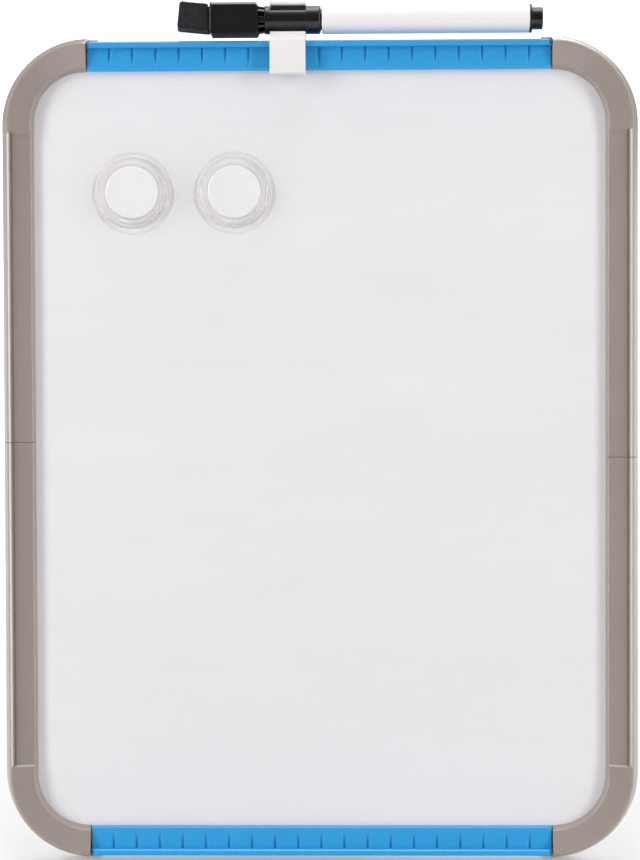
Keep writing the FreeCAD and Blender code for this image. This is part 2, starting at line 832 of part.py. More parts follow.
def nib():
    """Bullet nib, with a tail that reaches the ink reservoir."""
    outside = [
        (nib_left_x, 0, 0),
        (nib_left_x + nib_radius, nib_radius, nib_radius / 2),
        (nib_right_x, nib_radius, 0),
        (nib_right_x, 0, 0),
    ]
    return turned(outside, marker_point(0), X_AXIS, Z_AXIS)


def reservoir():
    """Fibre ink reservoir inside the barrel, against the nib's tail."""
    return rod(reservoir_radius, marker_point(nib_right_x), marker_point(reservoir_right_x))


# Magnets

def magnet_centre(x):
    """Point of the writing face under a magnet's middle."""
    return Vector(x, sheet_front_y - magnet_board_gap, magnet_z)


def magnet_shell(x):
    """Clear magnet knob: a thin rim, a concave flank and a shallow dish in its top."""
    pocket_depth = magnet_disc_recess + magnet_disc_thickness + magnet_disc_clearance
    pocket_radius = magnet_disc_radius + magnet_disc_clearance
    rim_flat = magnet_rim_height + magnet_rim_rounding
    flank_top = magnet_height - magnet_top_rounding
    outside = [
        (0, pocket_radius, 0),
        (0, magnet_radius, magnet_rim_rounding),
        (magnet_rim_height, magnet_radius, magnet_rim_rounding),
        (rim_flat, magnet_top_radius + magnet_top_rounding, magnet_top_rounding),
        (flank_top, magnet_top_radius, 0),
        (magnet_height, magnet_top_radius - magnet_top_rounding, 0),
        (magnet_height, magnet_dish_radius, 0),
        (magnet_height - magnet_dish_depth, magnet_dish_radius - magnet_dish_depth, 0),
        (magnet_height - magnet_dish_depth, 0, 0),
        (pocket_depth, 0, 0),
        (pocket_depth, pocket_radius, 0),
    ]
    return turned(outside, magnet_centre(x), -Y_AXIS, X_AXIS)


def magnet_disc(x):
    """White coated disc magnet in the knob's back."""
    front = magnet_centre(x) - Y_AXIS * magnet_disc_recess
    return rod(magnet_disc_radius, front, front - Y_AXIS * magnet_disc_thickness)


# Assembly

def board_pieces():
    """Every piece that stays with the board, drawn upright, by name."""
    long_seam = frame_height / 2 - seam_offset
    short_seam = frame_height / 2 + seam_offset
    top_left = corner_piece(short_seam, True)
    top_right = corner_piece(long_seam, False).mirror(ORIGIN, X_AXIS)
    top_rail = rail()
    return {
        "corner_top_left": top_left,
        "corner_top_right": top_right,
        "corner_bottom_right": half_turn(top_left),
        "corner_bottom_left": half_turn(top_right),
        "top_rail": top_rail,
        "bottom_rail": half_turn(top_rail),
        "writing_sheet": panel_layer(sheet_front_y, sheet_back_y),
        "core_board": drilled(panel_layer(sheet_back_y, core_back_y)),
        "back_liner": drilled(panel_layer(core_back_y, liner_back_y)),
        "stand_bracket": bracket(),
        "bracket_screws": bracket_screws(),
        "hinge_pin": hinge_pin(),
        "hinge_push_nut": push_nut(),
        "marker_clip": clip(),
        "marker_cap": cap(),
        "eraser_felt": felt(),
        "pen_barrel": barrel(),
        "pen_end_plug": end_plug(),
        "pen_nose": nose(),
        "pen_nib": nib(),
        "ink_reservoir": reservoir(),
        "left_magnet_knob": magnet_shell(left_magnet_x),
        "left_magnet_disc": magnet_disc(left_magnet_x),
        "right_magnet_knob": magnet_shell(right_magnet_x),
        "right_magnet_disc": magnet_disc(right_magnet_x),
    }


def leaned(shape):
    """A piece of the upright board, leaned back about the board's bottom back edge."""
    piece = shape.copy()
    piece.rotate(ORIGIN, X_AXIS, -lean_angle)
    return piece


def stand_leg():
    """Open leg, leaned with the board, its foot cut level above the pad."""
    below = box(-frame_width, frame_width, -frame_height, frame_height, -frame_height, foot_pad_thickness)
    return leaned(open_leg()).cut(below).removeSplitter()


def foot_pad():
    """Rubber pad under the leg's foot, flat on the desk."""
    front, back = foot_range()
    half = leg_foot_half_width - foot_pad_side_inset
    outline = [
        (-half, front - foot_pad_margin, foot_pad_corner_radius),
        (half, front - foot_pad_margin, foot_pad_corner_radius),
        (half, back + foot_pad_margin, foot_pad_corner_radius),
        (-half, back + foot_pad_margin, foot_pad_corner_radius),
    ]
    return prism(outline, lambda point: point, Z_AXIS * foot_pad_thickness)


def middle_y(pieces):
    """Y halfway between the foremost and the rearmost point of all the pieces."""
    boxes = [piece.optimalBoundingBox() for piece in pieces]
    return (min(bounds.YMin for bounds in boxes) + max(bounds.YMax for bounds in boxes)) / 2


def all_pieces():
    """Every piece of the standing easel by name, centred over the origin from front to back."""
    pieces = {name: leaned(shape) for name, shape in board_pieces().items()}
    pieces["stand_leg"] = stand_leg()
    pieces["foot_pad"] = foot_pad()
    shift = Vector(0, -middle_y(pieces.values()), 0)
    for piece in pieces.values():
        piece.translate(shift)
    return pieces


def main():
    os.makedirs("parts", exist_ok=True)
    for name, shape in all_pieces().items():
        if not shape.isValid():
            print("not valid:", name)
        print(name, "solids", len(shape.Solids), "volume", round(shape.Volume))
        shape.exportStep(os.path.join("parts", name + ".step"))


if __name__ == "__main__":
    main()
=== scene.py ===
import math

import bmesh
import bpy
import numpy as np
from mathutils import Matrix, Vector


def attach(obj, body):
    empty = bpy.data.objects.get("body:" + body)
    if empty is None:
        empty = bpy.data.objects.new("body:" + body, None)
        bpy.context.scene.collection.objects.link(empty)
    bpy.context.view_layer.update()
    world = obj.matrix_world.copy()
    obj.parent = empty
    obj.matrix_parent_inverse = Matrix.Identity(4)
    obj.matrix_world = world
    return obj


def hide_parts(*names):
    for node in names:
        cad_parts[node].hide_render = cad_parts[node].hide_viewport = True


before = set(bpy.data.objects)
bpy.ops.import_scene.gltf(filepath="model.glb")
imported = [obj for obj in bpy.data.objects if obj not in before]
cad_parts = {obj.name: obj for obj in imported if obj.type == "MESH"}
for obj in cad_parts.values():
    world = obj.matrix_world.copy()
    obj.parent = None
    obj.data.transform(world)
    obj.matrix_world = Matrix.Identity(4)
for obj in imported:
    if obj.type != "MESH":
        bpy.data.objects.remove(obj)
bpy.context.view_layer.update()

# Looks of the magnetic desk whiteboard easel.
# New pieces are drawn in millimetres in the board's upright frame: X to the right, Z up the board from
# its bottom edge, Y backwards from the frame's back plane. stood() leans them back with the board.
# Insets are measured inwards from the frame's outer edge, and a rounding is the radius of an edge.

MM = 0.001
MICRON = 1e-6
TOUCH = 1e-6
TINY = 1e-9
LEAN = math.radians(20)
FORWARD = (0.0, -math.cos(LEAN), math.sin(LEAN))
UP = (0.0, math.sin(LEAN), math.cos(LEAN))
SHARP_ANGLE = math.radians(38)
SHARPEST_TURN = 0.6
ARC_STEPS = 6

# Grey corner pieces. The bead is listed as inset, drop behind the front, and rounding.
FRAME_HEIGHT = 279.4
CORNER_RADIUS = 29.5
RIM_THICKNESS = 2.0
OUTER_FLARE = 2.4
FRONT_Y = -11.0
FRONT_DROP = 0.8
OUTER_ROUNDING = 0.8
FLANGE_REACH = 8.0
FLANGE_THICKNESS = 1.8
GROOVE_WALL = 3.7
PANEL_SEAT_Y = -5.9
LIP_OUTER_ROUNDING = 0.6
BEAD = ((2.95, 0.34, 0.1), (3.65, 0, 0.12), (3.92, 0, 0.12))
CREASE_INSET = 3.96
CREASE_DEPTH = 0.35
CREASE_ROUNDING = 0.1
CHANNEL_FOOT = 4.7
CHANNEL_DEPTH = 0.6
CHANNEL_ROUNDING = 0.25
CHANNEL_START = 3.1
CHANNEL_BLEND = 0.8
FACE_INSET = 10.55
FACE_INNER_Y = -8.7
FACE_STEPS = 44
INNER_INSET = 11.4
INNER_ROUNDING = 0.45
RAIL_END_INSET = 11.8
BACK_ROUNDING = 0.4
END_ROUNDING = 0.22
SEAM_ROUNDING = 0.09
QUARTER_ROWS = 41
BLEND_ROWS = 11
SIDE_ROWS = 12
TAB_ROOT = 1.0
TAB_LENGTH = 3.0
TAB_REACH = 2.1
TAB_FRONT_ROUNDING = 1.3
TAB_ROUNDING = 0.3
TONGUE_INSETS = (3.8, 5.2)
TONGUE_LENGTH = 14.0
TONGUE_ROOT = 8.0
TONGUE_ROUNDING = 0.25

# Blue rails
RAIL_INSET = 2.2
RAIL_FRONT_Y = -10.4
RAIL_EDGE = 0.5
RAIL_EDGE_ROUNDING = 0.08
RAIL_LIP_INSET = 4.3
RAIL_FLOOR_Y = -8.2
RAIL_INNER_INSET = 11.7
RAIL_SOLID_INSET = 12.15
RAIL_INNER_ROUNDING = 0.9
RAIL_CHAMFER = 1.2
RAIL_CHAMFER_EASE = 0.1
GROOVE_COUNT = 19
GROOVE_PITCH = 7.85
GROOVE_HALF_WIDTH = 0.48
GROOVE_WALL_WIDTH = 0.18
GROOVE_DEPTH = 0.5
GROOVE_LENGTH = 6.4
GROOVE_FADE = 0.65
GROOVE_SHOULDER = 0.5
GROOVE_SHOULDER_DEPTH = 0.18

# Marker clip
CLIP_LEG_THICKNESS = 1.5
CLIP_HOOK_HEIGHT = 1.15
CLIP_HOOK_REACH = 4.9
CLIP_BACK_THICKNESS = 1.4
CLIP_BACK_REACH = 14.0
CLIP_NUB = 0.45
CLIP_PLATE_THICKNESS = 1.6
CLIP_SHOULDER = 1.6
CLIP_ROUNDING = 0.5
CLIP_TIP_ROUNDING = 0.3
CLIP_SIDE_ROUNDING = 0.26
CLIP_RAIL_CLEARANCE = 0.2
CRADLE_THICKNESS = 1.4
CRADLE_ARM = 4.0
CRADLE_STEPS = 25
PAD_BACK = 2.95

# Marker. The eraser holder's rings are listed as distance in X from its mouth or its end, and inset.
MARKER_RISE = 5.35
MARKER_Y = -5.5
WAIST_RADIUS = 4.4
COLLAR_RADIUS = 4.85
CRADLE_CLEARANCE = 0.1
LEFT_COLLAR = 1.75
CAP_BORE = 3.7
CAP_WALL = 1.2
CAP_ROUNDING = 0.35
CAP_INNER_ROUNDING = CAP_ROUNDING / 3
NECK_LENGTH = 2.1
NECK_CORE = 2.6
FIN_COUNT = 10
FIN_THICKNESS = 0.9
FIN_RADII = (4.8, 4.3)
FIN_ROUNDING = 0.15
FIN_SIDE_ROUNDING = 0.12
HOLDER_HALF_DEPTH = 6.7
HOLDER_HALF_HEIGHT = 5.05
HOLDER_ROUNDING = 0.9
HOLDER_LEAST_ROUNDING = 0.2
HOLDER_CHAMFER = 0.8
HOLDER_CHAMFER_ROUNDING = 0.15
HOLDER_WALL = 1.1
HOLDER_MOUTH = ((13.0, 1.1), (0.2, 1.1), (0, 0.9), (0, 0.2), (0.04, 0.07), (0.38, -0.12), (0.47, -0.12),
                (0.54, 0), (0.6, 0))
HOLDER_END = ((-0.8, 0), (-0.6, 0.05), (-0.45, 0.2), (-0.1, 0.7), (0, 0.85))
FELT_GAP = 0.8
FELT_LENGTH = 10.6
FELT_HALF_HEIGHT = 4.45
FELT_RISE = 0.3
FELT_HALF_DEPTH = 5.6
FELT_TILT = math.radians(5.6)
FELT_SKEW = 0.08
FELT_ROUNDING = 0.95
FELT_LEAST_ROUNDING = 0.3
FELT_ROWS = 34
FELT_WAVE = 0.07
FELT_WAVES = ((1.9, 1.3, 0.7), (-1.1, 2.3, 1.7), (0.6, -1.9, 2.9))
TENON_PLAY = 0.2
FIBRE_SEED = 7
FIBRE_COUNT = 1500
FIBRE_LENGTH = 0.55
FIBRE_SHORTEST = 0.4
FIBRE_WIDTH = 0.045
FIBRE_DRIFT = 0.9
FIBRE_BEND = 0.6
FIBRE_LIFT = 0.3
FIBRE_FREE_ROWS = 8
BARREL_RADIUS = 4.85
BARREL_BORE = 4.05
BARREL_ROUNDING = 0.35
PLUG_SPIGOT = 6.0
PLUG_SPIGOT_BORE = 2.8
PLUG_FLANGE = 0.85
PLUG_FLANGE_RADIUS = 4.9
PLUG_FLANGE_ROUNDING = 0.12
PLUG_RADIUS = 3.8
PLUG_CHAMFER = 0.3
NOSE_LENGTH = 10.0
NOSE_RADIUS = 3.6
NOSE_TIP_RADIUS = 2.2
NOSE_TIP_ROUNDING = 0.3
NOSE_CONE = 3.5
NOSE_SPIGOT = 8.0
NIB_RADIUS = 1.4
NIB_TIP_RADIUS = 0.84
NIB_TIP_ROUNDING = 0.5
SHOULDER_ROUNDING = 0.8
FINE_ROUNDING = 0.1
FIT = 0.1

# Board magnets
MAGNET_RADIUS = 14.0
MAGNET_TOP_RADIUS = 11.5
MAGNET_HEIGHT = 6.4
MAGNET_RIM = 1.4
MAGNET_RIM_ROUNDING = 0.5
MAGNET_TOP_ROUNDING = 0.8
MAGNET_FLANK_ROUNDING = 0.4
MAGNET_BROW_ROUNDING = 0.3
MAGNET_DISH_RADIUS = 10.1
MAGNET_DISH_DEPTH = 0.4
MAGNET_DISH_ROUNDING = 0.2
MAGNET_POCKET_RADIUS = 8.9
MAGNET_POCKET_DEPTH = 3.9
MAGNET_AROUND = 128
DISC_ROUNDING = 0.4

# Where the eraser holder is rubbed shiny: heights above the marker's axis, and distances from the
# holder's mouth, between which its clear coat sets in, and the share of that coat round the mouth
SHINE_HEIGHTS = (3.9, 4.3)
SHINE_MOUTH = (0.45, 0.6)
SHINE_AT_MOUTH = 0.35

# The camera, fitted to the photograph: its place and aim in the board's frame, its roll about its line
# of sight, and its focal length in pixels of the photograph.
CAMERA_EYE = (14.1, -701.2, 164.1)
CAMERA_AIM = (0.0, -5.8, 146.3)
CAMERA_ROLL = math.radians(0.21)
PHOTO_HEIGHT = 860
FOCAL_PIXELS = 2052.7
SENSOR = 36.0

# Soft boxes: a tall one low on each side of the board, as over a copying table, one overhead, and a
# weaker one behind for the other views. Each is listed with its azimuth and elevation in degrees off the
# board's forward line, its width and height in metres, and its radiance.
LAMPS = (("left_box", -62, 13, 0.26, 1.1, 7.5), ("right_box", 61, 13, 0.26, 1.1, 6.4),
         ("top_box", -4, 86, 0.4, 0.62, 4.6), ("back_box", 160, 48, 0.9, 0.7, 3.0))
STEEP = 60

# Brightness of the surroundings for diffuse light, where 1 is white, and of those seen from there
# through a clear piece, and the share of the lamps' light that goes straight through a clear face
SOFT_LEVEL = 0.39
CLEAR_SOFT = 0.1
CLEAR_TO_LAMPS = 0.85

# What mirror and clear rays see of the surroundings, with edges as cosines off the board's forward,
# upward or left direction: the dark round in front, the share of white that is lost behind the board and
# how high up all of it is, and the level on the right from which clear rays see it rise to white.
DARK_LEVEL = 0.12
DARK_EDGE = (0.55, 0.82)
BACK_SHADE = 0.65
BACK_EDGE = (-0.5, -0.25)
HIGH_EDGE = (0.42, 0.66)
CLEAR_RIGHT = 0.45
CLEAR_EDGE = (-0.9, 0.7)

# Pale floor: its half width, its grey, the distances and levels between which its added white rises, and
# the part of that white that mirror rays see in front of the object, over a depth in metres
FLOOR_HALF = 8
FLOOR_GREY = 0.64
FLOOR_DISTANCES = (0.15, 0.9)
FLOOR_LEVELS = (0.24, 1.0)
FLOOR_IN_MIRRORS = 0.9
FLOOR_FRONT = (-0.1, 0.15)
WHITE = (1, 1, 1, 1)


# The board's frame

def node_points(node):
    """Vertices of a CAD node, as rows of X, Y, Z in metres."""
    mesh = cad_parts[node].data
    points = np.empty(len(mesh.vertices) * 3, np.float32)
    mesh.vertices.foreach_get("co", points)
    return points.reshape(-1, 3).astype(float)


def foot_place():
    """Y, in millimetres, where the board's bottom back edge stands: the lowest points of a corner."""
    points = node_points("corner_bottom_left")
    return points[points[:, 2] < TOUCH, 1].mean() / MM


FOOT_Y = foot_place()


def stood(points):
    """Board points in millimetres as row points in metres: turned back by the lean about X, then moved
    to the foot."""
    x, y, z = np.moveaxis(np.asarray(points, float), -1, 0)
    back = y * math.cos(LEAN) + z * math.sin(LEAN) + FOOT_Y
    up = z * math.cos(LEAN) - y * math.sin(LEAN)
    return np.stack([x, back, up], axis=-1) * MM


def board_box(node):
    """Lowest and highest corner of a CAD node in the board's frame, in millimetres."""
    x, y, z = node_points(node).T / MM
    y = y - FOOT_Y
    board = np.stack([x, y * math.cos(LEAN) - z * math.sin(LEAN), y * math.sin(LEAN) + z * math.cos(LEAN)])
    return board.min(axis=1), board.max(axis=1)


# Surfaces

def unit(vectors):
    """Vectors of length one, along the last axis."""
    return vectors / np.linalg.norm(vectors, axis=-1, keepdims=True)


def rounded(corners, steps=ARC_STEPS):
    """Outline through corners (a, b, radius). A corner of some radius becomes an arc tangent to both its
    sides: its centre lies on the bisector, radius / sin(half the corner's angle) away."""
    outline = []
    flat = np.array([corner[:2] for corner in corners], float)
    for index, (_, _, radius) in enumerate(corners):
        here = flat[index]
        if radius == 0:
            outline.append(here[None])
            continue
        before = unit(flat[index - 1] - here)
        after = unit(flat[(index + 1) % len(flat)] - here)
        half = math.acos(np.clip(before @ after, -1, 1)) / 2
        centre = here + unit(before + after) * radius / math.sin(half)
        start = here + before * radius / math.tan(half) - centre
        end = here + after * radius / math.tan(half) - centre
        sweep = math.atan2(start[0] * end[1] - start[1] * end[0], start @ end)
        angles = math.atan2(start[1], start[0]) + np.linspace(0, sweep, steps)
        outline.append(centre + radius * np.stack([np.cos(angles), np.sin(angles)], axis=-1))
    return np.concatenate(outline)


def arc(centre, radius, first, last, steps):
    """Points on a circle in the outline's plane, at equal steps between two angles in degrees."""
    angles = np.radians(np.linspace(first, last, steps))
    return np.array(centre) + radius * np.stack([np.cos(angles), np.sin(angles)], axis=-1)


def inward(outline):
    """Inward direction at each point of a closed outline: the mean of its two sides' normals, lengthened
    so that both sides move by one, but not without limit at a pointed corner."""
    area = np.sum(outline[:, 0] * np.roll(outline[:, 1], -1) - outline[:, 1] * np.roll(outline[:, 0], -1))
    side = unit(np.roll(outline, -1, axis=0) - outline + TINY)
    normal = np.stack([-side[:, 1], side[:, 0]], axis=-1) * np.sign(area)
    both = normal + np.roll(normal, 1, axis=0)
    return 2 * both / np.maximum(np.sum(both * both, axis=1), SHARPEST_TURN)[:, None]


def eased(distance, rounding):
    """How far an outline draws in at a distance from a rounded end: r - sqrt(r^2 - (r - distance)^2)."""
    left = np.clip(rounding - distance, 0, rounding)
    return rounding - np.sqrt(rounding ** 2 - left ** 2)


def end_steps(rounding, steps=4):
    """Distances from an end at which its rounding is drawn: r (1 - cos) of equal angles."""
    return rounding * (1 - np.cos(np.linspace(0, math.pi / 2, steps)))


def skin(rows, closed_ends=True):
    """Points and faces of a surface given as rows of points, each row a closed ring: neighbours in row
    and column share a four-sided face, and the first and last ring can each be closed by one face."""
    count, around = rows.shape[:2]
    index = np.arange(count * around).reshape(count, around)
    following = np.roll(index, -1, axis=1)
    quads = np.stack([index[:-1], following[:-1], following[1:], index[1:]], axis=-1)
    faces = quads.reshape(-1, 4).tolist()
    if closed_ends:
        faces += [index[0].tolist(), index[-1].tolist()]
    return rows.reshape(-1, 3), faces


def turned(outline, centre, axis, radial, around=96):
    """Surface of revolution: outline points (along, radius) carried round an axis, so that a point is
    centre + axis * along + radius * (cos * radial + sin * third)."""
    axis, radial = np.array(axis, float), np.array(radial, float)
    third = np.cross(axis, radial)
    angles = np.linspace(0, 2 * math.pi, around, endpoint=False)
    ring = np.cos(angles)[:, None] * radial + np.sin(angles)[:, None] * third
    return np.array(centre) + outline[:, None, :1] * axis + outline[:, None, 1:] * ring


def carried(outline, places, rounding, point):
    """Prism with eased ends: the outline at each place along its path, drawn in near both ends by less
    than its own roundings, so that it doesn't cross itself. point turns (place, a, b) into X, Y, Z."""
    steps = end_steps(rounding)
    rows = np.concatenate([places[0] + steps, places[1] - steps[::-1]])
    drawn = eased(np.minimum(rows - places[0], places[1] - rows), rounding)
    rings = outline[None] + inward(outline)[None] * drawn[:, None, None]
    along = np.broadcast_to(rows[:, None], rings.shape[:2])
    return point(along, rings[..., 0], rings[..., 1])


def half_turn(points):
    """The same points turned half round about the board's centre, front still forwards."""
    return points * (-1, 1, -1) + (0, 0, FRAME_HEIGHT)


def linked(name, data):
    """A new object of that mesh, lamp or camera, in the scene."""
    thing = bpy.data.objects.new(name, data)
    bpy.context.scene.collection.objects.link(thing)
    return thing


def add_piece(name, skins, finish, body, *nodes):
    """One object from several skins in the board's frame. It rides on a body and stands for the nodes."""
    points = np.concatenate([vertices for vertices, _ in skins])
    faces = []
    start = 0
    for vertices, corners in skins:
        faces += [[start + corner for corner in face] for face in corners]
        start += len(vertices)
    mesh = bpy.data.meshes.new(name)
    mesh.from_pydata(stood(points).tolist(), [], faces)
    shape = bmesh.new()
    shape.from_mesh(mesh)
    bmesh.ops.remove_doubles(shape, verts=shape.verts, dist=TOUCH)
    bmesh.ops.recalc_face_normals(shape, faces=shape.faces)
    shape.to_mesh(mesh)
    shape.free()
    mesh.shade_smooth()
    mesh.set_sharp_from_angle(angle=SHARP_ANGLE)
    mesh.materials.append(finish)
    piece = linked(name, mesh)
    weighted = piece.modifiers.new("even_normals", "WEIGHTED_NORMAL")
    weighted.keep_sharp = True
    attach(piece, body)
    if nodes:
        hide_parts(*nodes)
    return piece


# Corner pieces

def corner_outlines():
    """The two closed outlines of a corner's section, inset against Y, plain and with the channel, point
    for point. The channel's floor runs parallel to the sloping face, one channel depth behind it. Beside
    it stands a bead: a flank at half the angle of the side light, a narrow top and a creased foot."""
    face_start = OUTER_FLARE + FRONT_DROP
    face_slope = (FACE_INNER_Y - FRONT_Y) / (FACE_INSET - face_start)
    edge_slope = (PANEL_SEAT_Y - FACE_INNER_Y) / (INNER_INSET - FACE_INSET)
    floor_start_y = FRONT_Y + CHANNEL_DEPTH + face_slope * (CHANNEL_FOOT - face_start)
    floor_end = FACE_INSET + CHANNEL_DEPTH / (edge_slope - face_slope)
    floor_end_y = FACE_INNER_Y + edge_slope * (floor_end - FACE_INSET)
    shared = [(GROOVE_WALL, PANEL_SEAT_Y, 0), (GROOVE_WALL, -FLANGE_THICKNESS, 0),
              (FLANGE_REACH, -FLANGE_THICKNESS, BACK_ROUNDING), (FLANGE_REACH, 0, BACK_ROUNDING),
              (0, 0, BACK_ROUNDING), (0, -RIM_THICKNESS, 0),
              (OUTER_FLARE, FRONT_Y + FRONT_DROP, OUTER_ROUNDING)]
    lip_edge = (face_start, FRONT_Y, LIP_OUTER_ROUNDING)
    foot = (INNER_INSET, PANEL_SEAT_Y, 0)
    bead = [(inset, FRONT_Y + drop, radius) for inset, drop, radius in BEAD]
    bead.append((CREASE_INSET, floor_start_y + CREASE_DEPTH, CREASE_ROUNDING))
    flat = rounded(shared + [lip_edge, (FACE_INSET, FACE_INNER_Y, INNER_ROUNDING), foot])
    sunk = rounded(shared + bead + [(CHANNEL_FOOT, floor_start_y, CHANNEL_ROUNDING),
                                    (floor_end, floor_end_y, INNER_ROUNDING), foot])
    behind = sum(1 if radius == 0 else ARC_STEPS for _, _, radius in shared)
    back, face, floor = sunk[:behind], flat[behind - 1:], sunk[behind:]
    lip_points = (len(bead) + 1) * ARC_STEPS
    lip, rest = floor[:lip_points], floor[lip_points - 1:]
    insets = np.linspace(rest[0, 0], INNER_INSET, FACE_STEPS)[1:]
    floor = np.concatenate([lip, np.stack([insets, np.interp(insets, rest[:, 0], rest[:, 1])], axis=-1)])
    face = np.stack([floor[:, 0], np.interp(floor[:, 0], face[:, 0], face[:, 1])], axis=-1)
    return np.concatenate([back, face]), np.concatenate([back, floor])


def corner_rows(seam_z):
    """Top left corner piece: its section carried round a quarter circle and down to the seam. At a
    distance s along the outer edge the section turns by s / radius; past the quarter it goes straight
    down. Its front is flat + share * (sunk - flat), the share rising smoothly where the channel starts.
    Its inner edge spreads evenly to the rail's over the first half of the quarter."""
    corner_low, _ = board_box("corner_top_left")
    arc_centre = (corner_low[0] + CORNER_RADIUS, FRAME_HEIGHT - CORNER_RADIUS)
    quarter = CORNER_RADIUS * math.pi / 2
    length = quarter + arc_centre[1] - seam_z
    channel_s = quarter + CHANNEL_START
    s = np.concatenate([end_steps(END_ROUNDING),
                        np.linspace(0, quarter, QUARTER_ROWS)[1:],
                        channel_s + CHANNEL_BLEND * np.linspace(-0.5, 0.5, BLEND_ROWS),
                        np.linspace(channel_s + CHANNEL_BLEND, length - SEAM_ROUNDING, SIDE_ROWS)[:-1],
                        length - end_steps(SEAM_ROUNDING)[::-1]])
    angle = math.pi / 2 + np.minimum(s, quarter) / CORNER_RADIUS
    out_x, out_z = np.cos(angle), np.sin(angle)
    drop = np.maximum(s - quarter, 0)
    rise = np.clip((s - channel_s) / CHANNEL_BLEND + 0.5, 0, 1)
    share = (rise * rise * (3 - 2 * rise))[:, None, None]
    flat, sunk = corner_outlines()
    drawn = np.maximum(eased(s, END_ROUNDING), eased(length - s, SEAM_ROUNDING))[:, None, None]
    section = flat + share * (sunk - flat) + (inward(flat) * (1 - share) + inward(sunk) * share) * drawn
    near_rail = np.clip(1 - 2 * s / quarter, 0, 1)[:, None]
    beyond = np.clip((section[..., 0] - FACE_INSET) / (INNER_INSET - FACE_INSET), 0, 1)
    reach = CORNER_RADIUS - section[..., 0] - beyond * near_rail * (RAIL_END_INSET - INNER_INSET)
    x = arc_centre[0] + reach * out_x[:, None]
    z = arc_centre[1] + reach * out_z[:, None] - drop[:, None]
    return np.stack([x, section[..., 1], z], axis=-1)


def tongues(seam_z, with_seam_tongue):
    """The tab on the rim that covers the rail's end, and the tongues inside the groove."""
    corner_low, _ = board_box("corner_top_left")
    end_x = corner_low[0] + CORNER_RADIUS
    low, high = TONGUE_INSETS
    front, back = PANEL_SEAT_Y + FIT, -FLANGE_THICKNESS - FIT

    def across(along, a, b):
        return np.stack([along, a, FRAME_HEIGHT - b], axis=-1)

    def down(along, a, b):
        return np.stack([corner_low[0] + b, a, along], axis=-1)

    tab = rounded([(-RIM_THICKNESS, 0, TAB_FRONT_ROUNDING), (0, 0, TAB_ROUNDING),
                   (0, TAB_REACH, TAB_ROUNDING), (-RIM_THICKNESS, TAB_REACH, TAB_ROUNDING)])
    strip = rounded([(front, low, TONGUE_ROUNDING), (back, low, TONGUE_ROUNDING),
                     (back, high, TONGUE_ROUNDING), (front, high, TONGUE_ROUNDING)])
    bars = [(tab, (end_x - TAB_ROOT, end_x + TAB_LENGTH), across),
            (strip, (end_x - TONGUE_ROOT, end_x + TONGUE_LENGTH), across)]
    if with_seam_tongue:
        bars.append((strip, (seam_z - TONGUE_LENGTH, seam_z + TONGUE_ROOT), down))
    return [skin(carried(outline, places, END_ROUNDING, point)) for outline, places, point in bars]


def add_corners(finish):
    """The four corner pieces: two mouldings, each used at two ends of a diagonal."""
    _, left_high = board_box("corner_bottom_left")
    top_low, _ = board_box("corner_top_left")
    short_seam = left_high[2]
    long_seam = FRAME_HEIGHT - short_seam
    gap = top_low[2] + TONGUE_LENGTH - short_seam
    for name, seam, with_tongue, mirrored, turned_over in (
            ("corner_top_left", short_seam, True, False, False),
            ("corner_top_right", long_seam, False, True, False),
            ("corner_bottom_right", short_seam, True, False, True),
            ("corner_bottom_left", long_seam, False, True, True)):
        skins = [skin(corner_rows(seam + gap))] + tongues(seam + gap, with_tongue)
        if mirrored:
            skins = [(points * (-1, 1, 1), faces) for points, faces in skins]
        if turned_over:
            skins = [(half_turn(points), faces) for points, faces in skins]
        add_piece(name + "_moulding", skins, finish, "board", name)


# Rails

